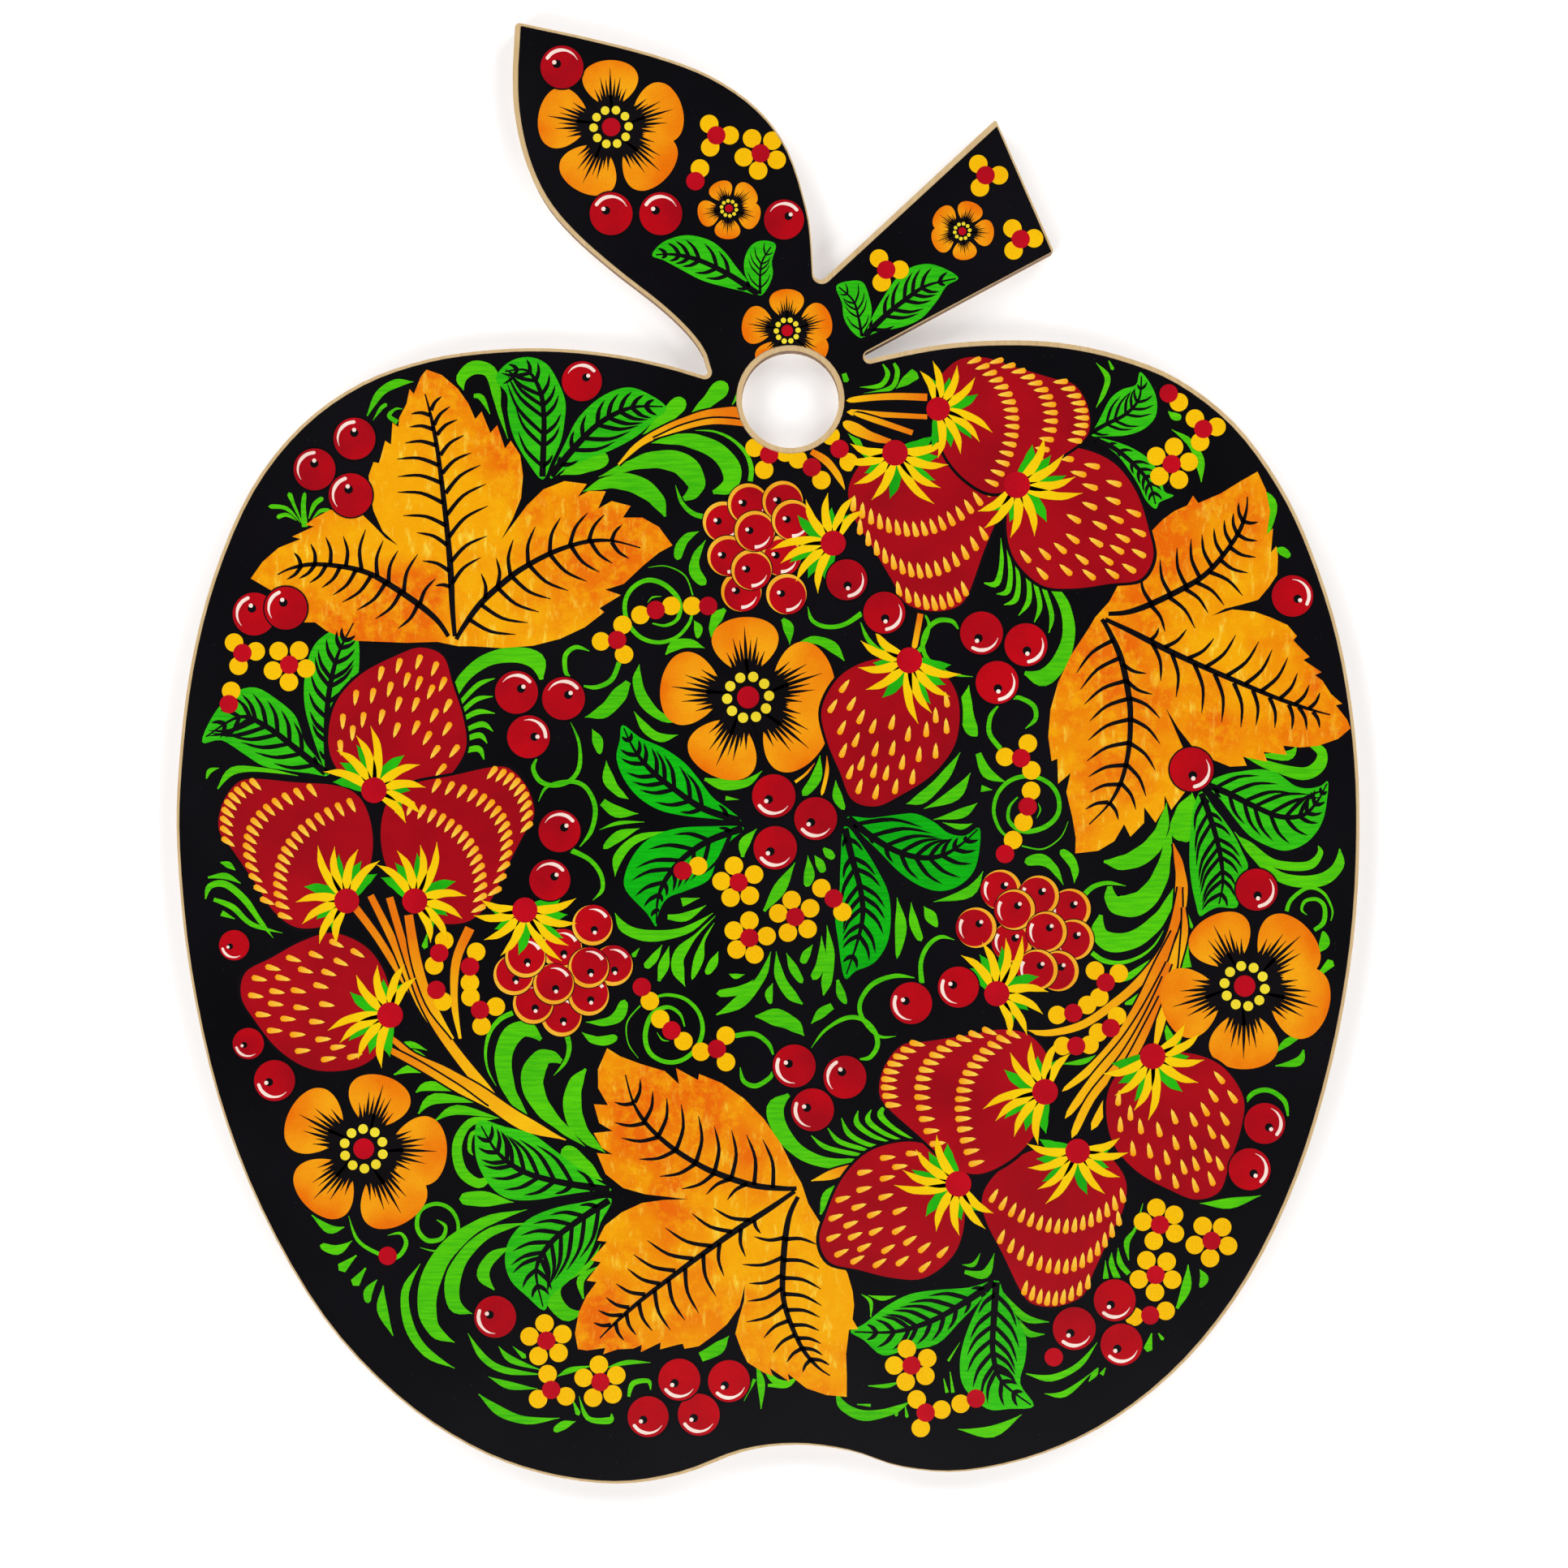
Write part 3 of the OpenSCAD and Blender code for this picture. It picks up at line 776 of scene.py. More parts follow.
def wreath():
    """What comes three times round the middle of the apple."""
    for number, turn in enumerate(THIRDS, 1):
        place = Third(turn)
        curls = Film(place)
        for order, (spine, widths, blunt) in enumerate(THIRD_STROKES):
            curls.stroke(spine, widths, CURL + HAIR * order, "curl", blunt)
        curls.lay(f"green_curls_{number}")
        amber_leaf(number, place)
        raspberry(number, place)
        berries = Film(place)
        for spec in THIRD_BERRIES:
            berry(berries, *spec)
        berries.lay(f"berries_third_{number}")
        blossoms = Film(place)
        for order, (x, y, turns) in enumerate(THIRD_BLOSSOMS):
            blossom(blossoms, x, y, turns, lift=6 * HAIR * order)
        blossoms.lay(f"blossoms_third_{number}")


# ---------------------------------------------------------------- what comes once

# Green leaves: edge, midrib from the root to the tip, and how many veins leave each side of the midrib.
LEAVES = {
    "leaf_left": ([(-23.8, 102.3), (-21.5, 105), (-16.8, 106.4), (-12.1, 105.4), (-9, 103.1), (-6.6, 100),
        (-4.3, 97.2), (-2, 94.1), (-5.1, 94.9), (-9, 95.8), (-13.7, 97.2), (-18.3, 99.6), (-21.5, 101.3)],
        [(-2, 94.3), (-8, 98.3), (-14, 101.2), (-19, 102.4), (-23, 102.4)], 7),
    "leaf_right": ([(1.6, 104.5), (-1.2, 105.3), (-3.5, 104.2), (-4.8, 101.5), (-4.7, 98.4), (-3.1, 95.7),
        (-1.6, 94), (0, 95.7), (1, 98.4), (0.8, 101.1)], [(-1.6, 94.3), (-1.6, 98), (-1.2, 101),
        (0.6, 104)], 5),
    "stalk_right": ([(39.1, 97.5), (37, 99.2), (33.1, 100.5), (29.2, 99.7), (26.1, 97.2), (23, 92.5),
        (21.1, 89), (19.5, 85.5), (23, 86.7), (27.7, 87.6), (31.6, 89.4), (34.7, 92.9), (36.7, 96)],
        [(19.8, 85.6), (24, 89.8), (28, 93), (32.5, 96), (38.6, 97.5)], 7),
    "stalk_left": ([(14, 95.9), (16.8, 97), (19.5, 96.7), (20.8, 93.7), (21.3, 90.6), (20.5, 87.5),
        (19.3, 85.3), (17.2, 86.7), (15.6, 89.4), (15.2, 92.5)], [(19.3, 85.6), (18.6, 89.5), (17.5, 93),
        (14.6, 95.7)], 5),
    "top_left": ([(-46.3, 56.2), (-49.3, 59.8), (-52.1, 64.7), (-53.4, 69.7), (-53.6, 73.8), (-55.9, 76.9),
        (-53.4, 80.2), (-49.3, 81.4), (-45.5, 80), (-43.1, 76.3), (-41.6, 72.2), (-41.8, 68), (-42.6, 63.9),
        (-44.5, 59.8)], [(-46.3, 56.8), (-46.1, 63), (-46, 69), (-46.8, 74.5), (-49.5, 78.6), (-54, 78.4)],
        9),
    "top_right": ([(-44.8, 56.6), (-41.4, 64.2), (-38.9, 68.9), (-34.7, 72.9), (-30, 75), (-26.2, 74.6),
        (-20.9, 71.2), (-23.2, 68.5), (-27, 65.1), (-32.1, 62.3), (-37.6, 60.2), (-41.8, 58.3)],
        [(-44.6, 57), (-39, 63.6), (-34, 68.2), (-28, 71), (-21.6, 71.2)], 8),
    "right_upper": ([(76.4, 78.3), (75.6, 75.7), (72.7, 74.7), (70.3, 72.8), (68.6, 69.6), (67, 66.7),
        (65, 65.1), (69, 65.1), (73.5, 65.3), (77.2, 66.6), (79.6, 69.2), (79.8, 72.8), (78.4, 76.1)],
        [(65.2, 65.2), (69.5, 67.6), (73.4, 69.6), (76.2, 72.8), (76.7, 77.4)], 7),
    "right_lower": ([(64.6, 65.1), (69, 64.6), (73.9, 63.1), (78, 60.6), (80.6, 57), (81.4, 53.8),
        (83.3, 52.9), (80.5, 51.6), (79.6, 50.2), (77.6, 52), (76.2, 54.9), (74.4, 57.8), (71.6, 61.4),
        (67.8, 63.9)], [(65.5, 65), (71, 62.7), (75.5, 59), (78.3, 55.5), (79.6, 51.2)], 8),
    "left_upper": ([(-84.6, 27.4), (-87.9, 26.1), (-91.8, 23.7), (-93.8, 21), (-94.9, 17), (-95.3, 13),
        (-95, 9), (-93.8, 4.5), (-92.2, -0.2), (-90.3, -4.5), (-89.3, -0.2), (-87.7, 3.7), (-85.7, 9.2),
        (-84.2, 15.5), (-83.9, 21), (-84.3, 24.5)], [(-90.2, -4), (-90.6, 4), (-90.2, 12), (-88.4, 20),
        (-85.1, 26.8)], 10),
    "left_lower": ([(-116.2, 2.3), (-113.8, 8), (-109.9, 12.3), (-105.2, 13.5), (-100.5, 10.8), (-97.3, 8),
        (-96.1, 5.3), (-95, 2.1), (-92.6, -1), (-90.3, -4.5), (-94.2, -4.1), (-98.9, -3.5), (-103.6, -2.6),
        (-107.5, -0.2), (-112.2, 2.7)], [(-90.8, -4), (-97, 1), (-103, 5.5), (-108.5, 7.5), (-115.4, 3.4)],
        9),
    "bottom_left_upper": ([(-59.4, -75.4), (-54, -76.7), (-48.6, -78.1), (-44.2, -81.2), (-40.6, -83.9),
        (-36.2, -87), (-32.1, -89.7), (-37, -90), (-42.4, -90.8), (-47.8, -91.7), (-53.1, -91.5),
        (-56.7, -89.2), (-59.4, -84.8), (-60.2, -80.3)], [(-32.5, -89.6), (-42, -88.2), (-50, -86),
        (-55.5, -82), (-58.9, -76.5)], 9),
    "bottom_left_lower": ([(-32.1, -91.5), (-37.9, -92.2), (-44.2, -93.5), (-49.5, -95.9), (-53.1, -99.9),
        (-54, -104.4), (-52.7, -108.4), (-49.5, -111.5), (-46, -114.4), (-44.6, -111.5), (-41.5, -108.9),
        (-37.9, -105.3), (-35.7, -100.8), (-34.4, -96.4)], [(-32.6, -91.8), (-39, -96), (-44.5, -100.4),
        (-47.6, -106), (-46.2, -113.6)], 9),
    "bottom_right_left": ([(46.9, -108.3), (41.3, -109.7), (34.7, -110.2), (29.1, -111.1), (24.4, -113.5),
        (19.7, -117.2), (16.9, -118.7), (19.7, -120.5), (23.5, -123.6), (28.2, -122.6), (34.7, -121.3),
        (39.4, -116.7), (43.2, -112.8)], [(46.5, -108.6), (40, -113), (33.5, -116.6), (26, -118.8),
        (17.8, -118.8)], 9),
    "bottom_right_right": ([(46.9, -108.3), (43.2, -113.5), (40.4, -120.1), (39.4, -125.7), (40.4, -130.4),
        (45, -134.6), (49.7, -134.6), (54.6, -134), (51.8, -129.4), (52.8, -124.8), (53, -120.1),
        (50.9, -115.4), (48.5, -111.1)], [(46.9, -108.6), (46.4, -116), (46.2, -123), (48, -129),
        (54, -133.8)], 9),
    "far_right_upper": ([(90.3, -6.3), (93.7, -4.4), (97.3, -3.7), (101, -3.3), (104.1, -3.8),
        (106.2, -5.2), (108.3, -6.7), (110.9, -7.2), (113.5, -6.7), (115, -5.8), (114.8, -9.6),
        (114.1, -13.3), (112.5, -16.4), (109.9, -18.8), (106.2, -20), (102.6, -19), (98.9, -16.9),
        (95.8, -13.3), (93.1, -9.6)], [(90.5, -6.6), (94.7, -8.3), (99.9, -10.9), (105.2, -13),
        (109.9, -12.7), (112.8, -9.9), (114.8, -6.2)], 10),
    "far_right_lower": ([(89, -7.8), (87.4, -11.2), (86.9, -14.8), (86.6, -18.5), (86.6, -23.2),
        (87.1, -27.4), (87.9, -31), (88.7, -33.4), (90.5, -32.4), (92.6, -31.6), (96.3, -31.6),
        (96.5, -28.4), (97.3, -25.3), (98.6, -23.2), (97.3, -20), (95.8, -16.9), (93.7, -13.8),
        (91.6, -11.2)], [(89, -8.2), (90.5, -12.2), (92.1, -17.4), (93.1, -22.2), (93.4, -26.9),
        (92.6, -31)], 9),
}
DEEP_LEAVES = {
    "middle_upper": ([(-5.5, -13.9), (-10.5, -13.5), (-17.3, -12.8), (-22.4, -11.6), (-26.6, -9),
        (-29.6, -5.2), (-31.1, -1), (-30.4, 2.8), (-29.8, 5.8), (-26.2, 3.2), (-21.5, 1.1), (-17.3, -1.8),
        (-14.3, -5.2), (-11.4, -9), (-8.4, -11.2)], [(-5.7, -13.9), (-13.4, -11.3), (-19.2, -7.4),
        (-23.7, -3.8), (-27.3, 0.5), (-29.6, 5.2)], 9),
    "middle_lower": ([(-5, -15.2), (-12.2, -15), (-18.6, -15.4), (-23.7, -17.1), (-27, -20), (-29.2, -24.3),
        (-29.2, -28.1), (-24.9, -32.8), (-23, -35.6), (-22.6, -33.2), (-20.7, -29.8), (-16.5, -28.1),
        (-12.2, -26), (-10.5, -22.2), (-8, -18.3)], [(-5.2, -15.4), (-12, -17.9), (-17, -21.2),
        (-20.8, -25.6), (-22.6, -29.9), (-22.9, -35)], 8),
    "middle_right": ([(16.3, -13.1), (21, -13.3), (26.5, -12.6), (30.3, -12.4), (34.1, -14.1),
        (37.1, -16.4), (40.5, -16.9), (43.4, -15.3), (43.4, -20), (42.2, -24.3), (39.2, -27.2),
        (35.4, -28.3), (31.2, -27.2), (26.9, -24.3), (22.7, -20), (19.3, -16.7)], [(16.5, -13.3),
        (21.1, -17), (26.2, -20), (31.2, -21.4), (35.7, -21), (39.8, -18.6), (43.1, -15.6)], 9),
    "middle_down": ([(15.7, -15), (14.9, -23), (14.7, -28.5), (13.8, -33.2), (14.4, -38.3), (15.7, -46.1),
        (18, -44.7), (21.8, -43), (24.4, -39.2), (25.2, -34.5), (24.8, -29), (22.7, -24.3), (19.3, -18.8)],
        [(15.8, -15.4), (17.2, -21.3), (18.8, -27), (19.5, -32.8), (18.4, -38.6), (16.1, -45.4)], 9),
}

# Single green strokes by region. Each row holds the spine and then the widths along it.
STROKES = {
    "middle_left": [[(-21, 20.3), (-19, 22.2), (-16, 22.6), (-13, 21.6)], [0.3, 2.2, 1.8, 0.1],
        [(-15.2, 27.3), (-14.3, 25.6), (-14.5, 23.6)], [0.1, 1.8, 0.8], [(-8.8, 29.6), (-10.4, 28),
        (-11.3, 26), (-11.7, 23.8)], [0.8, 2.4, 1.6, 0.1], [(3, 27.6), (4.2, 25.8), (4.5, 22.3)],
        [0.8, 2.2, 0.1], [(6, 22.6), (9.6, 23.3), (13.2, 21.9), (15.7, 19)], [0.1, 1.6, 2.2, 0.2],
        [(-26.4, 18.3), (-26.8, 14.7), (-25.3, 10.6), (-21.5, 7.3), (-16, 6.7)], [0.1, 2, 2.4, 1.6, 0.1],
        [(-27.5, 8.6), (-25, 5), (-22, 3.2), (-18.5, 3.8)], [0.1, 1.8, 1.8, 0.1], [(-28.7, 14.7),
        (-30.7, 11.8), (-33.6, 8.7), (-37.6, 7.4)], [1.2, 3.2, 2.8, 0.1], [(-36.1, 5), (-35, 2.6),
        (-34.5, -0.2)], [0.1, 2.2, 1], [(-33.2, -1.5), (-32.7, -5.4), (-30.7, -8), (-28.6, -9.4)],
        [0.1, 2.4, 1.6, 0.1], [(-34, -10), (-31, -12), (-26.6, -12.4)], [1.6, 2.4, 0.1], [(-25.4, -14.1),
        (-30.6, -14.3), (-34.6, -15.7)], [0.1, 0.8, 0.1], [(-26.4, -15.4), (-30.6, -17), (-33.8, -19.6)],
        [0.1, 2.2, 1.2], [(-20.6, -16), (-27, -17.6), (-30.7, -21.3), (-31.4, -25.3)], [0.1, 1.6, 2, 0.1],
        [(-13, -5.3), (-9, -6.4), (-4.5, -6.1), (-1.2, -3.6)], [0.6, 2.4, 1.6, 0.1], [(-8.7, -9.2),
        (-6, -9.5)], [0.9, 0.1], [(-17.7, -30.6), (-14, -29.7)], [1.8, 0.1], [(-20.6, -33.6), (-17, -33.6),
        (-12.7, -31.2)], [1, 1.8, 0.1], [(-31.4, -32.8), (-29.3, -36), (-24.2, -37.5), (-17, -36.4),
        (-11.3, -32.8)], [0.1, 2, 2.4, 1.6, 0.1], [(-26.4, -40), (-27.8, -41.8)], [0.1, 1.2],
        [(-21.7, -39.3), (-23.5, -42.2), (-25.3, -44)], [0.1, 1.7, 1.5], [(-20.3, -39.6), (-21.4, -43.6),
        (-22.4, -46.8)], [0.1, 2.2, 0.6], [(-10.8, -33.4), (-14.2, -36.8), (-18, -41), (-18.5, -44.3),
        (-17, -47.9)], [0.1, 0.5, 2.4, 2.6, 0.1], [(-11, -34.8), (-13.1, -38.2), (-14.2, -42.2),
        (-15.6, -46.5)], [0.1, 0.6, 2, 0.9], [(-10.2, -40.7), (-11.3, -43.2), (-12.7, -45.4)],
        [0.1, 1.9, 1.2]],
    "middle_down": [[(5.6, -22.4), (2.4, -27.8), (-0.8, -32.4)], [0.1, 2.6, 0.6], [(8.2, -21), (8.5, -25),
        (7.8, -27.4)], [0.1, 2.2, 1.2], [(9.6, -21), (10.7, -22.7), (11.4, -24.5)], [0.2, 1.8, 1.4],
        [(11.4, -19.5), (12.5, -20.6), (13.6, -21.6)], [0.6, 1.8, 1.2], [(-2.3, -15.5), (-4.8, -18.4),
        (-5.2, -21.3)], [0.1, 2.2, 0.6], [(-4.8, -45.4), (-6.6, -45.8), (-8, -45.3)], [0.1, 1.1, 0.1],
        [(-3, -46.5), (-5.5, -48.6), (-10.6, -49.4)], [0.1, 1.8, 1.6], [(0.6, -40.7), (-1.2, -45.8),
        (-5.5, -50.8), (-10.6, -53.7)], [0.1, 1.6, 2.6, 0.3], [(1, -47.2), (0.2, -49.4), (0.6, -51.5)],
        [0.1, 1.6, 0.8], [(1.7, -40.7), (2.4, -45.8), (4.6, -49.4), (7.1, -51.5)], [0.1, 2, 2.2, 0.4],
        [(3.8, -41), (5.3, -44.3), (7.1, -47.2)], [0.1, 1.8, 1.2], [(9.2, -39.3), (7.8, -41.4),
        (7.1, -43.2)], [0.1, 1.7, 1.4], [(11, -37.5), (11, -42.9), (9.2, -46.5)], [0.1, 2, 1.8],
        [(12.1, -35.3), (12.8, -41.4), (12.1, -46.5), (11.4, -49.7)], [0.1, 1.8, 2.2, 0.3], [(14.3, -46.5),
        (15, -49.4), (16.1, -51.5)], [0.6, 1.8, 0.8], [(-2.6, -54), (1.7, -54.2), (5.3, -55.8), (7.4, -58)],
        [0.4, 3.6, 2.8, 0.2], [(13.2, -51.9), (11, -53.3), (8.9, -55.5)], [1.4, 2, 0.2]],
    "middle_right": [[(10.7, -0.4), (9.9, -5), (7.1, -8.7)], [0.1, 2.2, 1.6], [(13.9, -5.5), (14.3, -9),
        (15.7, -11.6)], [0.1, 2, 1], [(39.5, 0.2), (36.2, -4.8), (31.9, -9), (28.4, -10.4)],
        [0.1, 2, 2.4, 0.1], [(41.6, -4), (38.4, -8.4), (32, -11.4)], [0.1, 2.6, 0.1], [(43, -10.2),
        (39.8, -12.3), (34, -13.6)], [0.1, 2, 0.1], [(42, -14.4), (39.5, -15.1), (35.9, -14.2)],
        [0.1, 1.2, 0.1], [(41.3, 14), (40.6, 9.7), (41.6, 5.4), (43, 3.5)], [0.1, 2.8, 2.8, 1], [(43.2, 0),
        (45, -4), (49, -6)], [1.2, 2.2, 0.1], [(43.8, -7.2), (46, -7.5)], [1.4, 0.2], [(44.2, -24.2),
        (41.3, -28.5), (34, -30.5)], [0.1, 2.2, 0.1], [(26.5, -29.6), (27.3, -35.7), (26.5, -42.2)],
        [0.1, 2.4, 0.8], [(29.4, -30.6), (30, -35), (31.5, -38.6)], [0.1, 1.9, 1.4], [(32, -31.4),
        (33.4, -33.5), (34.8, -35.7)], [0.1, 2.4, 0.8]],
    "top": [[(-82.3, 69.3), (-79.8, 73.8), (-76.5, 75.9), (-72.8, 76.3)], [0.3, 1.6, 1.8, 0.1],
        [(-81.1, 68.4), (-79.4, 70.9), (-78.2, 71.7)], [0.1, 0.8, 0.8], [(-76.1, 68), (-77.8, 69.3),
        (-76.5, 70.7), (-75, 70.7)], [1, 0.9, 0.5, 0.1], [(-95.1, 46.5), (-95.4, 50.7), (-95.1, 53.6)],
        [1.2, 1, 0.8], [(-95.5, 46.9), (-97.2, 50.7), (-98.4, 53.6)], [0.2, 0.6, 1.2], [(-96, 47.4),
        (-98.9, 50.3), (-102.6, 50.7)], [0.1, 0.8, 1], [(-96.8, 47.8), (-98.9, 49), (-100.9, 48.4)],
        [0.1, 0.8, 1], [(-94.3, 48.2), (-93.1, 51.1), (-91.3, 52.5)], [0.2, 1, 1], [(-93.5, 48.2),
        (-91.8, 49.8), (-89.9, 49.8)], [0.1, 0.8, 0.9], [(-62.5, 74.6), (-62.9, 77.1), (-60.4, 79.2),
        (-57.1, 78.4), (-55.9, 74.6), (-55.2, 70.5), (-53.4, 64.6)], [0.2, 2.2, 2.8, 2.6, 2, 1, 0.1],
        [(-60.4, 73.4), (-58.8, 73), (-57.1, 69.7)], [0.8, 1.2, 0.2], [(-25.7, 65.5), (-22, 68),
        (-18.7, 71.3), (-17, 72.6)], [0.1, 2.6, 3.4, 2], [(-16.2, 69.3), (-12.9, 71.7), (-10, 74.6),
        (-8.3, 75.9)], [0.1, 2.4, 3.6, 2], [(-7.5, 71.3), (-5.6, 74.4)], [0.1, 1.2], [(15.8, 66.7),
        (18, 64.5), (19.4, 62)], [0.1, 1.4, 1], [(15.6, 78), (16.2, 76.2)], [1, 1.2], [(23.6, 79.9),
        (24.6, 77.8), (23, 75.5), (18.9, 75.2)], [0.3, 1, 1, 0.1], [(25.9, 80.1), (26.6, 78.1), (25.2, 75),
        (19.7, 73.9)], [0.6, 1, 1, 0.1], [(26.3, 74.9), (28.6, 76.7), (30.6, 78.2)], [0.1, 2, 2.6]],
    "right": [[(67.4, 80.2), (69.7, 77.3), (69, 74.1), (67.4, 71)], [0.1, 1.2, 1, 0.1], [(70, 80.6),
        (70.9, 78.7)], [0.3, 0.8], [(82.2, 70.2), (83.5, 69.2), (84.9, 69)], [0.2, 1.6, 1.2], [(82.9, 66.5),
        (86.6, 63.9), (88.6, 60.2), (89, 55.7)], [0.1, 1.4, 2, 0.2], [(101.4, 54.1), (103.3, 50.8),
        (102.5, 43.5)], [0.4, 2.6, 0.1], [(104, 42), (105.7, 41.5), (107.2, 40.3)], [0.2, 1.8, 1.2],
        [(100, -0.3), (106.6, -0.5), (108.6, 1.5)], [0.2, 2, 0.2], [(86.6, -8.6), (85, -11.7),
        (84.5, -15.4), (85.2, -18)], [0.1, 2.4, 4, 2], [(71.2, -46.7), (74.3, -45.7), (79, -42)],
        [0.6, 1.4, 0.1], [(73.3, -51.4), (75.9, -50.4), (79.5, -46.7)], [0.6, 1.6, 0.1], [(76.9, -59.8),
        (78.2, -55)], [0.8, 0.1], [(82.7, -58.8), (81.1, -54.6)], [1.8, 0.2], [(86, -44), (85.6, -40.5),
        (85.9, -35.4)], [2, 1.6, 0.1], [(86.3, -33.1), (87.1, -36)], [0.1, 0.8], [(96.3, -16.9),
        (99.4, -19), (103.1, -22.2), (107.3, -23.2), (111.4, -22.9), (113.4, -20.6), (113, -19)],
        [0.1, 1, 1.6, 1.8, 1.8, 1.2, 0.2], [(95.8, -16.1), (99.4, -20.6), (104.1, -24.8), (108.8, -26.3),
        (114.1, -25.8), (117.2, -23), (117.4, -19.6)], [0.1, 1.2, 2, 2.4, 2.6, 2.2, 0.3], [(106.5, -32.4),
        (107.5, -30), (110.9, -27.6), (114.1, -28.7), (115.9, -32.1), (115.6, -34.4)],
        [0.8, 0.8, 0.8, 0.6, 0.4, 0.2], [(112.2, -36.3), (114.1, -34.7), (114.3, -31.6), (112.8, -30),
        (110.4, -30.3), (109.6, -32.1), (110.7, -33.2)], [0.8, 1, 0.9, 0.8, 0.7, 0.5, 0.1], [(112.8, -41),
        (114.3, -38.9), (114, -36.5)], [0.3, 2.2, 0.8], [(113.6, -45), (116, -42.6)], [1, 2],
        [(104.1, -61.6), (106.7, -59.3), (110.4, -57.5)], [0.1, 1.6, 0.3], [(97.6, -0.5), (103.3, -2.6),
        (109.8, -4.2), (113.1, -2.6), (113.7, 0.3), (110.8, 2.1)], [0.2, 1.8, 2.6, 2.6, 2, 1.2]],
    "left": [[(-112.7, -3), (-114.6, -3.6), (-115.3, -5.2)], [0.1, 1, 0.3], [(-96.5, -4.6), (-103.6, -3.4),
        (-109.9, -3.6), (-113, -7.3)], [0.1, 0.9, 1.6, 0.3], [(-112.4, -22.4), (-110.8, -22.9),
        (-109.4, -24)], [0.3, 1.3, 0.2], [(-115, -25.5), (-111.4, -25.2), (-108.3, -26.7)], [0.4, 1.3, 0.2],
        [(-115.5, -29.9), (-114.6, -27.3), (-111.4, -26.9), (-107.5, -30), (-104.4, -34.3),
        (-101.6, -37.9)], [0.3, 1.2, 1.4, 1.4, 1, 0.1], [(-113.8, -30), (-109.9, -31.6), (-106, -35.1),
        (-99.7, -36.9)], [0.8, 1.2, 1, 0.1], [(-112.2, -32.8), (-109.5, -34)], [1.2, 0.2], [(-69.9, -36.7),
        (-70.6, -40.2)], [0.1, 1.4], [(-77.5, -60.5), (-73.5, -59.8), (-70, -61)], [0.2, 1.4, 0.1],
        [(-77.2, -62), (-72.7, -61.6), (-68.3, -64.2)], [0.2, 1.6, 0.1], [(-76.8, -66), (-72.7, -64.7),
        (-65.6, -66)], [0.3, 1.8, 0.1], [(-72.3, -69.6), (-69.2, -68.3), (-60.2, -69.6)], [0.3, 2, 0.1],
        [(-71.8, -74), (-68.3, -70.9), (-58.5, -71.8)], [0.3, 2.2, 0.1], [(-68.3, -75.4), (-63.8, -73.2),
        (-54.9, -75)], [0.3, 2, 0.1], [(-55.8, -75), (-61.1, -75.8), (-63.8, -80.3), (-62.9, -85.7),
        (-59.4, -88.3), (-56.7, -86.6)], [0.1, 1.6, 2, 2.2, 2, 0.6], [(-57.6, -77.2), (-60.7, -78.1),
        (-61.3, -81.2), (-60.6, -82.5)], [0.1, 0.9, 0.8, 0.2]],
    "bottom_left": [[(-52.2, -92.2), (-58.5, -91.5), (-63.4, -91.5)], [0.1, 3.2, 2.4], [(-49.5, -93.7),
        (-58.5, -96.4), (-65.6, -101.7), (-69.2, -108), (-70, -114.2), (-68.3, -118.7), (-64.3, -121)],
        [0.1, 2.2, 3.6, 4.2, 3.8, 2.6, 0.1], [(-49.5, -96.4), (-56.7, -98.2), (-62, -102.6), (-64.7, -108),
        (-64.3, -113.3), (-60.7, -115.1)], [0.1, 1.8, 2.4, 3.2, 2.8, 0.1], [(-52.7, -101.3),
        (-56.7, -103.5), (-58.5, -107.1), (-56.2, -110.2)], [0.1, 2.2, 2.6, 0.3], [(-71.4, -104.8),
        (-74.5, -110.6), (-73.6, -117.8), (-70, -123.1), (-64.3, -126.3)], [0.1, 1.6, 2, 1.8, 0.1],
        [(-79, -109.3), (-79.2, -114.2), (-77, -119.6)], [0.2, 2.2, 0.2], [(-80.3, -108.1), (-82.1, -110.6),
        (-82.1, -112.9)], [0.2, 1.8, 1.2], [(-82.6, -105.7), (-85.2, -109.3)], [0.4, 2.2], [(-84.5, -103.1),
        (-88.1, -106.2)], [0.3, 2.4], [(-85.4, -100.1), (-88.5, -102), (-92, -101)], [0.1, 2, 1.4],
        [(-87, -97.3), (-90.1, -97.7), (-93.7, -94.8)], [0.2, 1.8, 0.2], [(-86.1, -95), (-84.3, -99.9),
        (-80.3, -102.6), (-76.3, -103.5), (-74.3, -100.8), (-75.4, -98.6), (-78.1, -99)],
        [0.1, 0.7, 0.8, 0.9, 0.9, 0.6, 0.1], [(-71.4, -101.5), (-67.8, -102.2), (-64.5, -100.5),
        (-63.6, -96.8), (-65.2, -93.6), (-68.3, -92.5), (-71.4, -94), (-72, -97.5), (-70, -100),
        (-67, -99.6), (-66.2, -97.2), (-68, -95.8)],
        [0.1, 0.4, 0.6, 0.7, 0.8, 0.8, 0.8, 0.9, 1, 0.9, 0.7, 0.2], [(-61.6, -119.1), (-58.5, -124),
        (-54, -126.7), (-46, -127.6)], [0.1, 1.4, 1.4, 0.1], [(-55.3, -121.8), (-52.7, -124.5),
        (-46.4, -126.7)], [0.1, 1.4, 0.1], [(-52.4, -121.8), (-49.7, -124.2)], [0.1, 1.2], [(-57.4, -128),
        (-53.1, -129.8), (-47.3, -130.5)], [0.1, 1.6, 0.1], [(-59.4, -131.6), (-54.9, -135.2),
        (-49.5, -137), (-42.8, -136.5)], [0.2, 2, 1.6, 0.1], [(-39.5, -137.2), (-42, -138), (-44, -139.2)],
        [0.1, 1.8, 1.2], [(-40.2, -132.5), (-38.8, -136)], [0.1, 1.2], [(-38.8, -132), (-37, -136.5),
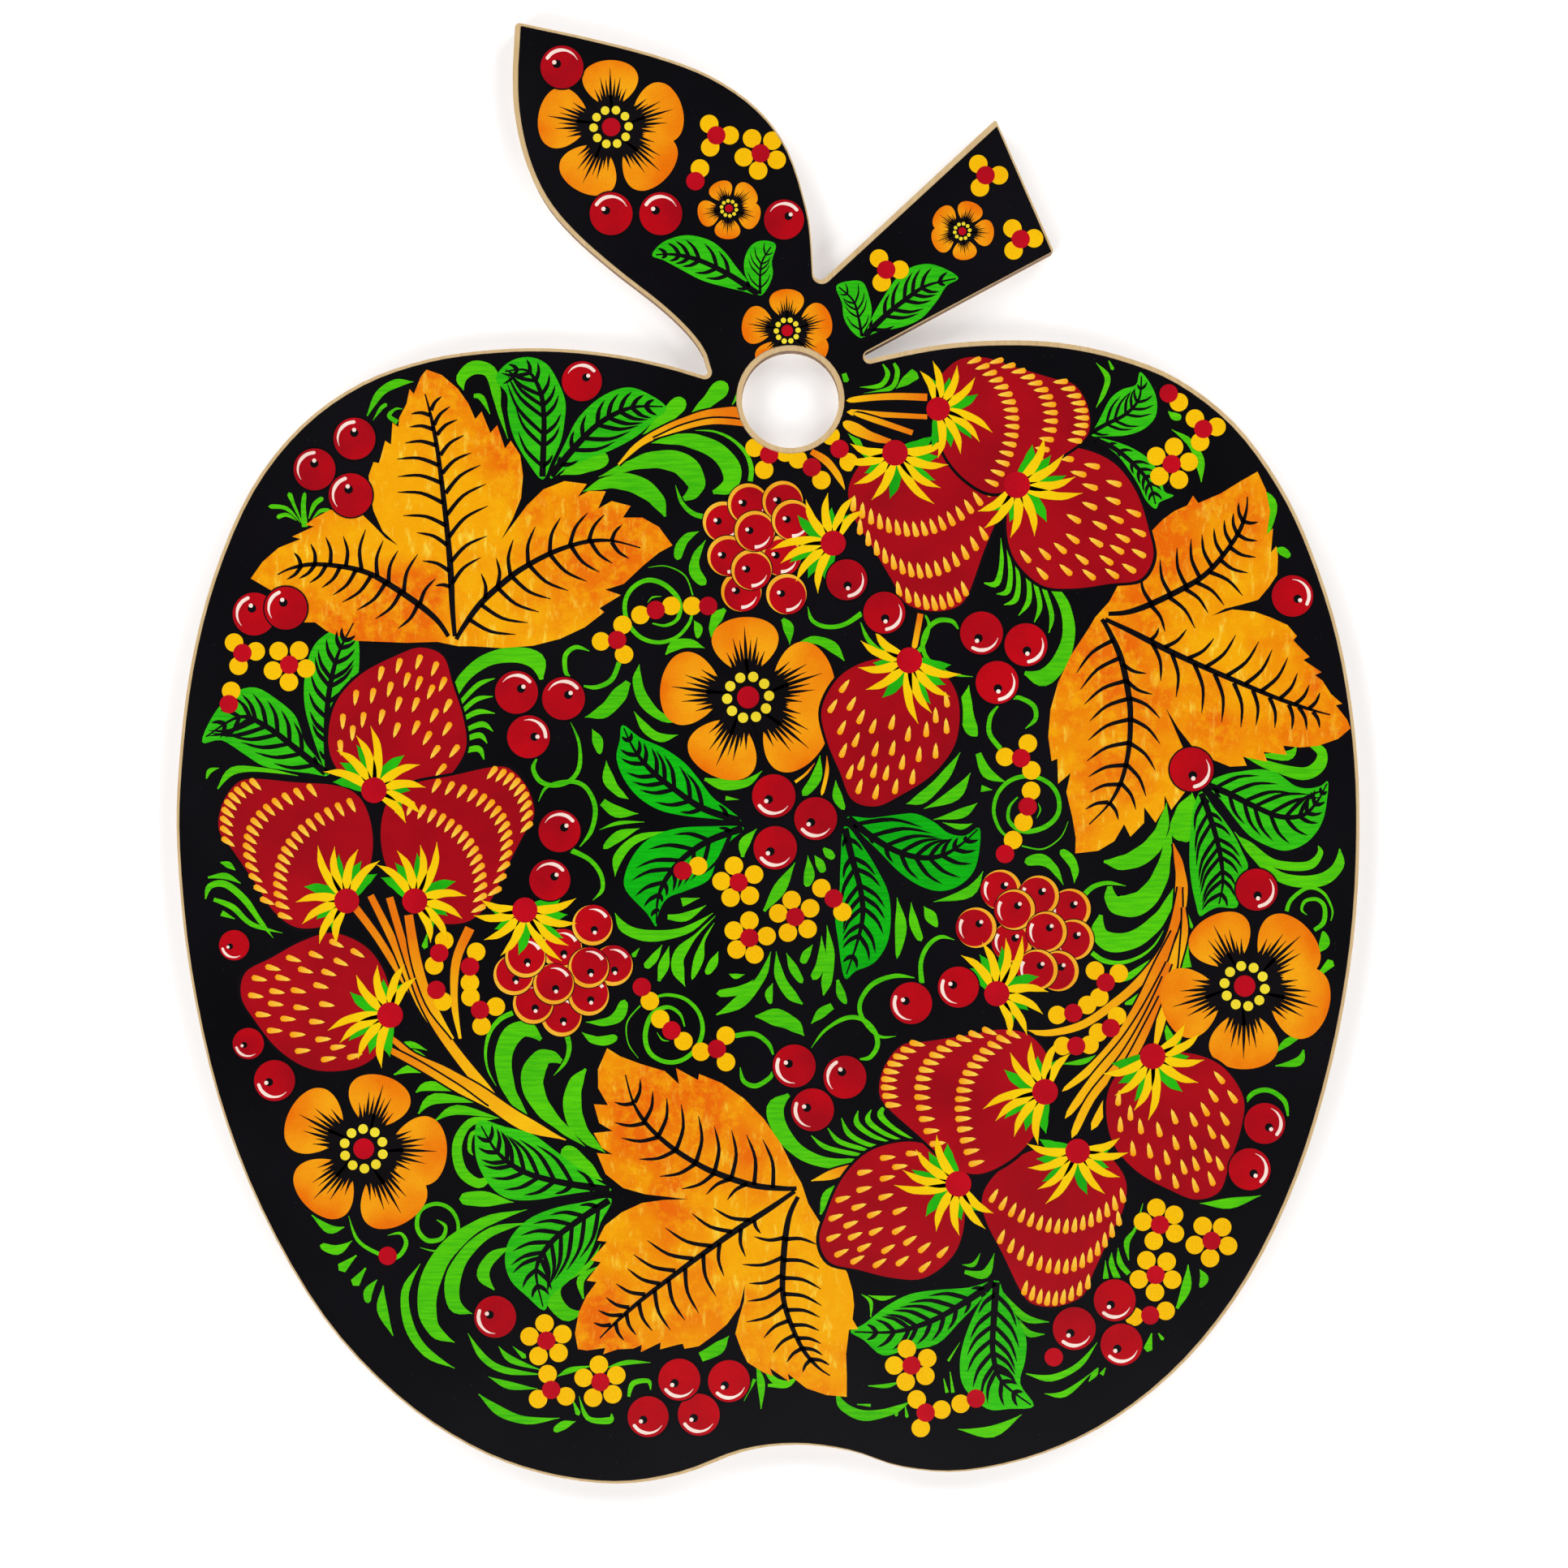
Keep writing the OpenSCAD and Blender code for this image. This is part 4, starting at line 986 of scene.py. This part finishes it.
        (-32.6, -137), (-32.1, -135.6)], [0.1, 1, 1.4, 0.2], [(-43.3, -128), (-40.6, -126.7),
        (-36.2, -125.8)], [0.1, 1.2, 0.2], [(-33.5, -126.3), (-29, -125.1), (-24.1, -125.1)], [0.1, 1, 0.1],
        [(-28.6, -132.1), (-27.7, -129.4), (-24.6, -128.9), (-24.1, -130.7)], [0.6, 1.1, 0.9, 0.2],
        [(-13.8, -124), (-10.3, -122.2), (-8, -119.6)], [2, 2.6, 0.1], [(-2.3, -125.8), (-1.4, -129.4),
        (-1.4, -134.6)], [0.3, 1.6, 0.2], [(-2.7, -128.5), (-4.9, -133)], [0.7, 0.1], [(-1.4, -125.4),
        (1.5, -128.9), (5, -129.4)], [0.2, 1.4, 0.8], [(-37.9, -114.7), (-41.5, -115.1), (-44.2, -111.5),
        (-42.4, -108), (-37, -105.3), (-34.4, -100.8)], [0.3, 3, 3.4, 2.2, 1, 0.1], [(-34.8, -105.3),
        (-38.4, -108), (-37.9, -112)], [0.1, 1.6, 0.4]],
    "bottom_right": [[(10.8, -94.7), (12.2, -91), (14.5, -88.3)], [0.4, 2.2, 0.1], [(60.5, -63.8),
        (64.7, -63.3), (67.6, -61.9)], [0.2, 1.2, 0.1], [(104.2, -64.2), (108.9, -63.3), (110, -60.9)],
        [0.2, 1.8, 0.4], [(97.6, -72.7), (99.5, -69.9), (102.8, -69.2), (106, -71.3), (106.8, -74.5)],
        [0.3, 1, 1, 1, 0.4], [(88.7, -92.4), (94.8, -92.4), (101.2, -90.8)], [0.1, 2.2, 0.1],
        [(40.4, -106.5), (44.6, -106.9), (46.5, -102.7)], [0.8, 1.8, 0.1], [(39.9, -105), (42.2, -105),
        (43.6, -102.7)], [0.1, 0.9, 0.1], [(19.2, -111.1), (21.1, -112.6), (21.1, -115.8)], [0.1, 0.8, 0.2],
        [(20.6, -111.3), (23.5, -111.9), (26.3, -111.4)], [0.1, 1, 0.1], [(48.3, -110.7), (52.6, -115.8),
        (57.7, -116.8)], [0.1, 1.6, 0.2], [(51.6, -116.3), (53.5, -119.1), (56.8, -119.3)], [0.1, 1.4, 0.2],
        [(53, -127.4), (58.2, -128.3), (63.8, -125.7), (67.6, -121)], [0.2, 1.4, 1.2, 0.1], [(56.8, -131.5),
        (61, -131.5), (66.6, -127.1)], [0.1, 1.3, 0.1], [(65.9, -129), (67.1, -127.4), (67.8, -126.2)],
        [0.2, 1.2, 0.3], [(68.5, -127.6), (69.3, -126.2)], [0.9, 0.2], [(69.4, -107.9), (69.3, -104.1)],
        [1.2, 0.1], [(71.8, -107.9), (70.6, -105), (70.6, -102.5)], [1.4, 1.2, 0.1], [(74.1, -106.9),
        (72.3, -104.6), (71.9, -101.5)], [1, 1.2, 0.1], [(77, -92.4), (75.5, -97.5), (73.7, -100.4),
        (74.1, -104.1)], [0.1, 0.6, 1.2, 0.2], [(86.3, -105), (85.9, -109.7), (84, -114)], [0.2, 2, 0.6],
        [(88.7, -106), (89.6, -107.9), (88.7, -109.7)], [0.2, 1.8, 0.8], [(78.8, -119.1), (77.9, -122.9)],
        [0.3, 2], [(80.2, -119.1), (81.2, -120.5)], [0.3, 0.8], [(14.1, -131.3), (15.5, -134.1),
        (19.7, -136), (25.3, -135.1), (29.1, -133.2)], [0.4, 1.8, 2.2, 1.6, 0.2], [(18.3, -133.7),
        (21.1, -133.9)], [0.2, 0.6], [(20.6, -129.9), (24.4, -129.9), (27.2, -129)], [0.2, 0.9, 0.1],
        [(26.7, -134.1), (26.3, -136.2)], [0.2, 0.8], [(28.2, -134.1), (28.6, -136.5)], [0.2, 0.8],
        [(36.1, -128.4), (36.8, -131.3)], [0.2, 0.7], [(37.4, -127), (38, -131.3)], [0.2, 0.7],
        [(39.4, -121), (37, -124.8)], [0.1, 0.5], [(39, -138.8), (46, -139.3), (52.1, -135.8)],
        [0.1, 2.4, 0.1], [(0, -129.8), (3.8, -129.6), (6.1, -128)], [0.6, 1.4, 0.1]],
}

STEMS = {
    "top": [[(-4.9, 70.2), (-12, 69.5), (-17.8, 67.8), (-22.8, 65.6), (-26.9, 63.1), (-30.7, 59.3)],
        [2.4, 2.2, 1.8, 1.6, 1.2, 0.4], [(-4.6, 67.8), (-11.2, 68.2), (-17, 67), (-23.6, 64.6)],
        [1.3, 1.2, 1, 0.1], [(32.7, 73.1), (26.3, 73.3), (20.8, 73), (16.1, 72.4)], [1.5, 1.4, 1.3, 1.2],
        [(32.7, 69.1), (23, 69.6), (16.2, 70.1)], [1, 1.1, 1.4], [(29.7, 65.8), (23, 68.1), (17.4, 69.9)],
        [1.1, 1.2, 0.8], [(25.2, 64), (21.4, 65), (18, 66.6), (15.4, 68)], [1, 1.8, 2.4, 1.6], [(8.9, 62),
        (11.9, 60.1), (14.2, 57.3), (15.9, 54)], [1.2, 1.6, 1.4, 0.2]],
    "left": [[(-84.8, -31.6), (-80.1, -37.9), (-73.8, -48), (-68, -56), (-62, -63.4), (-57.6, -67.8)],
        [1.6, 1.5, 1.3, 1.6, 1.8, 0.4], [(-81.6, -29.2), (-76.9, -38.7), (-71.4, -51.2), (-66, -60)],
        [1.4, 1.6, 1.8, 0.8], [(-77.7, -29.6), (-73.8, -42.6), (-70.2, -52), (-65.6, -59.4), (-59.4, -67.3),
        (-54, -72.7)], [1.5, 1.5, 1.8, 2, 2.2, 0.8], [(-73.8, -33.2), (-72.2, -42.6), (-69.4, -51),
        (-64.6, -58.6)], [1.8, 2, 1.8, 0.4], [(-61.2, -35.9), (-64, -42.6), (-64.4, -51.2), (-63.2, -58.6)],
        [2, 1.8, 1.4, 0.6], [(-80, -56.6), (-76, -59.6), (-72.7, -62.3), (-65.6, -65.6), (-58.5, -70.3),
        (-50.4, -75.8), (-41.5, -79.4)], [1, 1.2, 1.4, 1.6, 2.8, 3, 0.2], [(-79, -60.2), (-71.8, -64),
        (-64.7, -68.3), (-57.5, -72.7)], [1.2, 1.4, 1.4, 0.2]],
    "right": [[(83.2, -18.5), (84.5, -23.2), (84.9, -28.4), (84, -36), (82.4, -46.2), (81, -53.5),
        (79.5, -60.5)], [0.2, 1.8, 2.6, 2.4, 2.2, 2, 1.6], [(84.6, -27.4), (83.9, -33.6), (81.6, -40),
        (76.9, -46.2), (71.7, -50.9), (64.9, -55.6), (58, -57.4), (52.5, -57)],
        [0.8, 1.8, 1.8, 1.8, 1.7, 1.6, 1.4, 1], [(83.4, -36.6), (80, -44.4), (75.9, -52.5), (71.5, -59),
        (66, -65), (60.4, -69.4)], [1, 2.2, 2, 1.6, 1.6, 1.4], [(82.4, -43), (78.8, -51), (73.6, -59),
        (67.4, -66.4), (61, -75)], [1, 2, 1.8, 1.8, 1.8], [(81.6, -46), (78.5, -53.5), (73, -62.6),
        (66.4, -70.8), (62.4, -79)], [1, 1.8, 1.6, 1.6, 2], [(80.8, -50), (76.4, -59.4), (71, -69),
        (66.4, -77.4)], [0.8, 1.6, 1.6, 2], [(85.4, -31.6), (85.6, -37), (84.4, -44.4)], [0.6, 1.3, 0.2],
        [(18.8, -84.4), (13.5, -86.4), (8.9, -87.8)], [1, 2, 0.2]],
    "middle": [[(9.6, -2), (7.8, -4.2), (5.6, -5.9)], [0.1, 0.5, 0.6], [(12.1, -0.5), (12.1, -4),
        (11, -8.7)], [0.1, 0.8, 0.8], [(31.4, 29), (30.6, 24.6), (30, 21.4)], [1.2, 1.2, 1.2]],
}

BLOSSOMS = {
    "leaf": [(-10.6, 126.9, [122, 0, -117]), (-1.5, 123.2, [120, 47, -22, -98, 193]), (-14.9, 117.5, [70])],
    "stalk": [(44.7, 118.7, [123, 0, -115]), (51.9, 105.6, [128, 3, -122]), (24.3, 99.3, [123, 0, -110])],
    "right": [(82.3, 73.9, [-41]), (89.4, 66.6, [129, 9, -104]), (82.9, 59.4, [82, 153, -135, -65, 7]),
        (70.4, -56.4, [62, 200]), (63.3, -60.1, [180, 5])],
    "by_the_hole": [(14.7, 62.5, [124, -55])],
    "left": [(-107.9, 20.6, [129, 7, -107]), (-98.3, 18.2, [128, 55, -13, -91, 200]), (-110.7, 10.1, [80]),
        (-67.5, -41, [68, -112]), (-68.1, -48.6, [-60])],
    "middle": [(-17.5, -24.1, [17]), (-6, -26.5, [106, 27, -50, -118, 176]), (5.6, -33.6,
        [102, 30, -44, -115, 168]), (-3.8, -37.9, [90, 6, -73, 222, 155]), (13.5, -29.8, [140, -57])],
    "bottom_left": [(-45.5, -120.6, [96, 22, -45, -117, 166]), (-44.5, -130.7, [103, -24, 215]), (-34.4,
        -129.1, [95, 23, -45, -115, 166]), (-78.1, -103.2, [])],
    "bottom_right": [(80.5, -96.8, [102, 35, -30, -111, 170]), (91.1, -100.1, [121, 52, -17, -95, 194]),
        (79.6, -107.1, [122, 50, -16, -92, 195]), (78.5, -115.4, [16, 185]), (58.7, -124, []), (29.5,
        -125.7, [106, 25, -37, -110, 180]), (32.4, -135.4, [124, 11, -108]), (42.7, -132.5, [199])],
}


def reach(edge, start, degrees):
    """How far it is from a point to the edge of a shape in one direction."""
    dx, dy = math.cos(math.radians(degrees)), math.sin(math.radians(degrees))
    hits = []
    for (ax, ay), (bx, by) in zip(edge, edge[1:] + edge[:1]):
        ex, ey = bx - ax, by - ay
        cross = dx * ey - dy * ex
        if abs(cross) > 1e-9:
            along = ((ax - start[0]) * ey - (ay - start[1]) * ex) / cross
            share = ((ax - start[0]) * dy - (ay - start[1]) * dx) / cross
            if along > 0.01 and 0 <= share <= 1:
                hits.append(along)
    return min(hits, default=0)


def green_leaf(name, edge, midrib, veins, paint):
    """A leaf with a black midrib and bowed side veins that point at its tip."""
    leaf = Film()
    edge = smooth(edge, closed=True, steps=4)
    leaf.patch(edge, LEAF, paint)
    bold = min(math.dist(midrib[0], midrib[-1]) / 26, 1)
    leaf.stroke(midrib, [1.5 * bold, 1.15 * bold, 0.3], VEIN, "ink")
    line = smooth(midrib)
    last = len(line) - 1
    for k in range(veins):
        i = 1 + round((last - 2) * (k + 0.5) / (veins + 0.4))
        ahead = math.degrees(math.atan2(line[i + 1][1] - line[i][1], line[i + 1][0] - line[i][0]))
        for side in (-1, 1):
            free = reach(edge, line[i], ahead + 42 * side) * 0.87
            knee = polar(*line[i], free * 0.55, ahead + 47 * side)
            widths = [0.8 * bold, 0.95 * bold, 0.6 * bold, 0.08]
            leaf.stroke([line[i], knee, polar(*line[i], free, ahead + 37 * side)], widths,
                        VEIN + HAIR * (2 * k + side + 1), "ink", steps=4)
    leaf.lay(f"green_leaf_{name}")


def greenery():
    """The leaves, strokes, stems and blossoms that fill the board between the thirds."""
    for group, paint in ((LEAVES, "leaf"), (DEEP_LEAVES, "deep_leaf")):
        for name, (edge, midrib, veins) in group.items():
            green_leaf(name, edge, midrib, veins, paint)
    for name, rows in STROKES.items():
        film = Film()
        for order, (spine, widths) in enumerate(zip(rows[::2], rows[1::2])):
            film.stroke(spine, widths, CURL + 0.3 + HAIR * (order % 20), "curl", widths[-1] > 0.7)
        film.lay(f"green_strokes_{name}")
    for name, rows in STEMS.items():
        film = Film()
        for order, (spine, widths) in enumerate(zip(rows[::2], rows[1::2])):
            level = STEM + 6 * HAIR * order
            film.stroke(spine, [width + 0.8 for width in widths], level, "ink", widths[-1] > 0.7)
            film.stroke(spine, widths, level + 3 * HAIR, "stem", widths[-1] > 0.7)
        film.lay(f"gold_stems_{name}")
    for name, rows in BLOSSOMS.items():
        film = Film()
        gap = TIGHT_GAP if name in ("leaf", "stalk", "right", "left") else DOT_GAP
        for order, (x, y, turns) in enumerate(rows):
            blossom(film, x, y, turns, FIVE_GAP if len(turns) == 5 else gap, 0.5 + 6 * HAIR * (order % 5))
        film.lay(f"blossoms_{name}")


def strawberries():
    banded_strawberry(1, 34.96, 70.7, 104, 0.92, True, TOP_FRUIT, 3)
    banded_strawberry(2, 26.1, 61.7)
    loose_strawberry(3, 51.1, 55.1, 75, 1.03, level=SECOND_FRUIT - 1)
    loose_strawberry(4, -80.9, -7.56, 175)
    banded_strawberry(5, -86.5, -30.3, -115, 0.97, True, SECOND_FRUIT)
    banded_strawberry(6, -72.5, -30.3, 122, 0.98, level=SECOND_FRUIT)
    loose_strawberry(7, -77.6, -53.75, -84)
    banded_strawberry(8, 56.9, -69.5, 248, 1.0, level=SECOND_FRUIT)
    loose_strawberry(9, 79, -62.2, 4, mirror=True)
    banded_strawberry(10, 63.6, -81.7, 6, 0.96, True)
    loose_strawberry(11, 39.1, -88.4, -81, mirror=True)
    loose_strawberry(12, 29.04, 19.1)


def flowers():
    flower(1, -32.2, 128.6)
    flower(2, -4.07, 11.5, 2, 1.2)
    flower(3, -83, -81.2, -18, 1.13)
    flower(4, 97.9, -47.8, 26, 1.16)
    flower(5, 3.95, 86.8, 0, 0.62)
    flower(6, -8, 111.9, 23, 0.43)
    flower(7, 39.9, 107.2, 186, 0.43)


BERRY_CLUSTERS = {
    "leaf": [(-42.3, 140.9, 4.4, 148, 25), (-32.2, 110.8, 4.4, 148, 25), (-22, 110.8, 4.4, 148, 25),
        (3.3, 109.6, 4.1, 37, 150)],
    "upper_left": [(-84.9, 64.6, 4.3, 92, 205), (-93.1, 58.3, 4.3, 92, 217), (-85.7, 53, 4.5, 108, 221),
        (-99, 29.8, 4.4, 113, 215), (-105.5, 28.6, 4.4, 111, 223)],
    "by_the_notch": [(-38.2, 76.4, 4.1, 41, 150)],
    "middle": [(1.2, -8.75, 4.45, 214, 325), (9.8, -13.4, 4.4, 219, 326), (1.5, -19.4, 4.45, 217, 326)],
    "right": [(107.7, 32.3, 4.25, -29, 90), (87, -3.3, 4.5, -80, 34), (100.35, -28, 4.3, -81, 39)],
    "left": [(-109.6, -39.4, 3.1, 197, 301), (-106.7, -59.6, 3.2, 199, 305),
        (-101.3, -67.2, 4.2, 195, 316)],
    "lower_right": [(102, -76, 4.2, -42, 68), (98.9, -85.4, 4.3, -47, 69), (71.2, -112.3, 4.3, 229, 336),
        (62.9, -118.1, 4.4, 230, 335), (72.6, -121.4, 4.3, 225, 340)],
    "bottom": [(-56, -115.7, 4.3, 159, 270), (-18.2, -128.6, 4.3, 217, 326), (-8, -128.9, 4.3, 226, 339),
        (-24.6, -136.2, 4.2, 213, 328), (-14.2, -135.8, 4.3, 214, 328)],
}


def berries():
    for where, specs in BERRY_CLUSTERS.items():
        film = Film()
        for order, spec in enumerate(specs):
            berry(film, *spec, lift=0.4 * (order % 2))
        film.lay(f"berries_{where}")


# ---------------------------------------------------------------- studio

VIEW_MIDDLE = (3.3 * MM, -6.3 * MM)
VIEW_WIDTH = 322 * MM
CAMERA_HEIGHT = 0.85
# Four softboxes beside the board, and a faint one whose gleam falls on the bottom of the board.
LAMPS = [("left_front", (-0.9, -0.9, 1.0), 0.8, 10.5), ("right_front", (0.9, -0.9, 1.0), 0.8, 9.5),
         ("left_back", (-0.9, 0.9, 1.0), 0.8, 11.5), ("right_back", (0.9, 0.9, 1.0), 0.8, 10.5),
         ("gleam", (0.05, -0.57, 1.2), 0.5, 0.45)]


def studio():
    """White floor, soft lights and the camera straight above the painted face."""
    scene = bpy.context.scene
    scene.view_settings.view_transform = "Standard"
    world = bpy.data.worlds.new("studio")
    world.use_nodes = True
    world.node_tree.nodes["Background"].inputs[0].default_value = (1, 1, 1, 1)
    world.node_tree.nodes["Background"].inputs[1].default_value = 0.06
    scene.world = world

    floor_mesh = bpy.data.meshes.new("floor")
    floor_mesh.from_pydata([(-3, -3, 0), (3, -3, 0), (3, 3, 0), (-3, 3, 0)], [], [(0, 1, 2, 3)])
    white = Finish("floor_white", Roughness=0.9, Emission_Strength=0.35, Specular_IOR_Level=0.0)
    paper = white.mix((0.9, 0.9, 0.9, 1), (0.93, 0.93, 0.93, 1), white.noise(6, 1))
    white.colour(paper)
    white.put(white.shader.inputs["Emission Color"], paper)
    floor_mesh.materials.append(white.material)
    floor = bpy.data.objects.new("floor", floor_mesh)
    floor.location.z = CAD_BOX[0].z - 0.0002
    bpy.context.collection.objects.link(floor)

    for name, place, size, power in LAMPS:
        light = bpy.data.lights.new(name, "AREA")
        light.size = size
        light.energy = power
        lamp = bpy.data.objects.new(name, light)
        lamp.location = place
        lamp.rotation_euler = (-Vector(place)).to_track_quat("-Z", "Y").to_euler()
        bpy.context.collection.objects.link(lamp)

    camera = bpy.data.cameras.new("camera")
    camera.sensor_width = 36
    camera.lens = 36 * CAMERA_HEIGHT / VIEW_WIDTH
    holder = bpy.data.objects.new("camera", camera)
    holder.location = (*VIEW_MIDDLE, FACE + CAMERA_HEIGHT)
    bpy.context.collection.objects.link(holder)
    scene.camera = holder


finish_cad()
wreath()
greenery()
strawberries()
flowers()
berries()
studio()
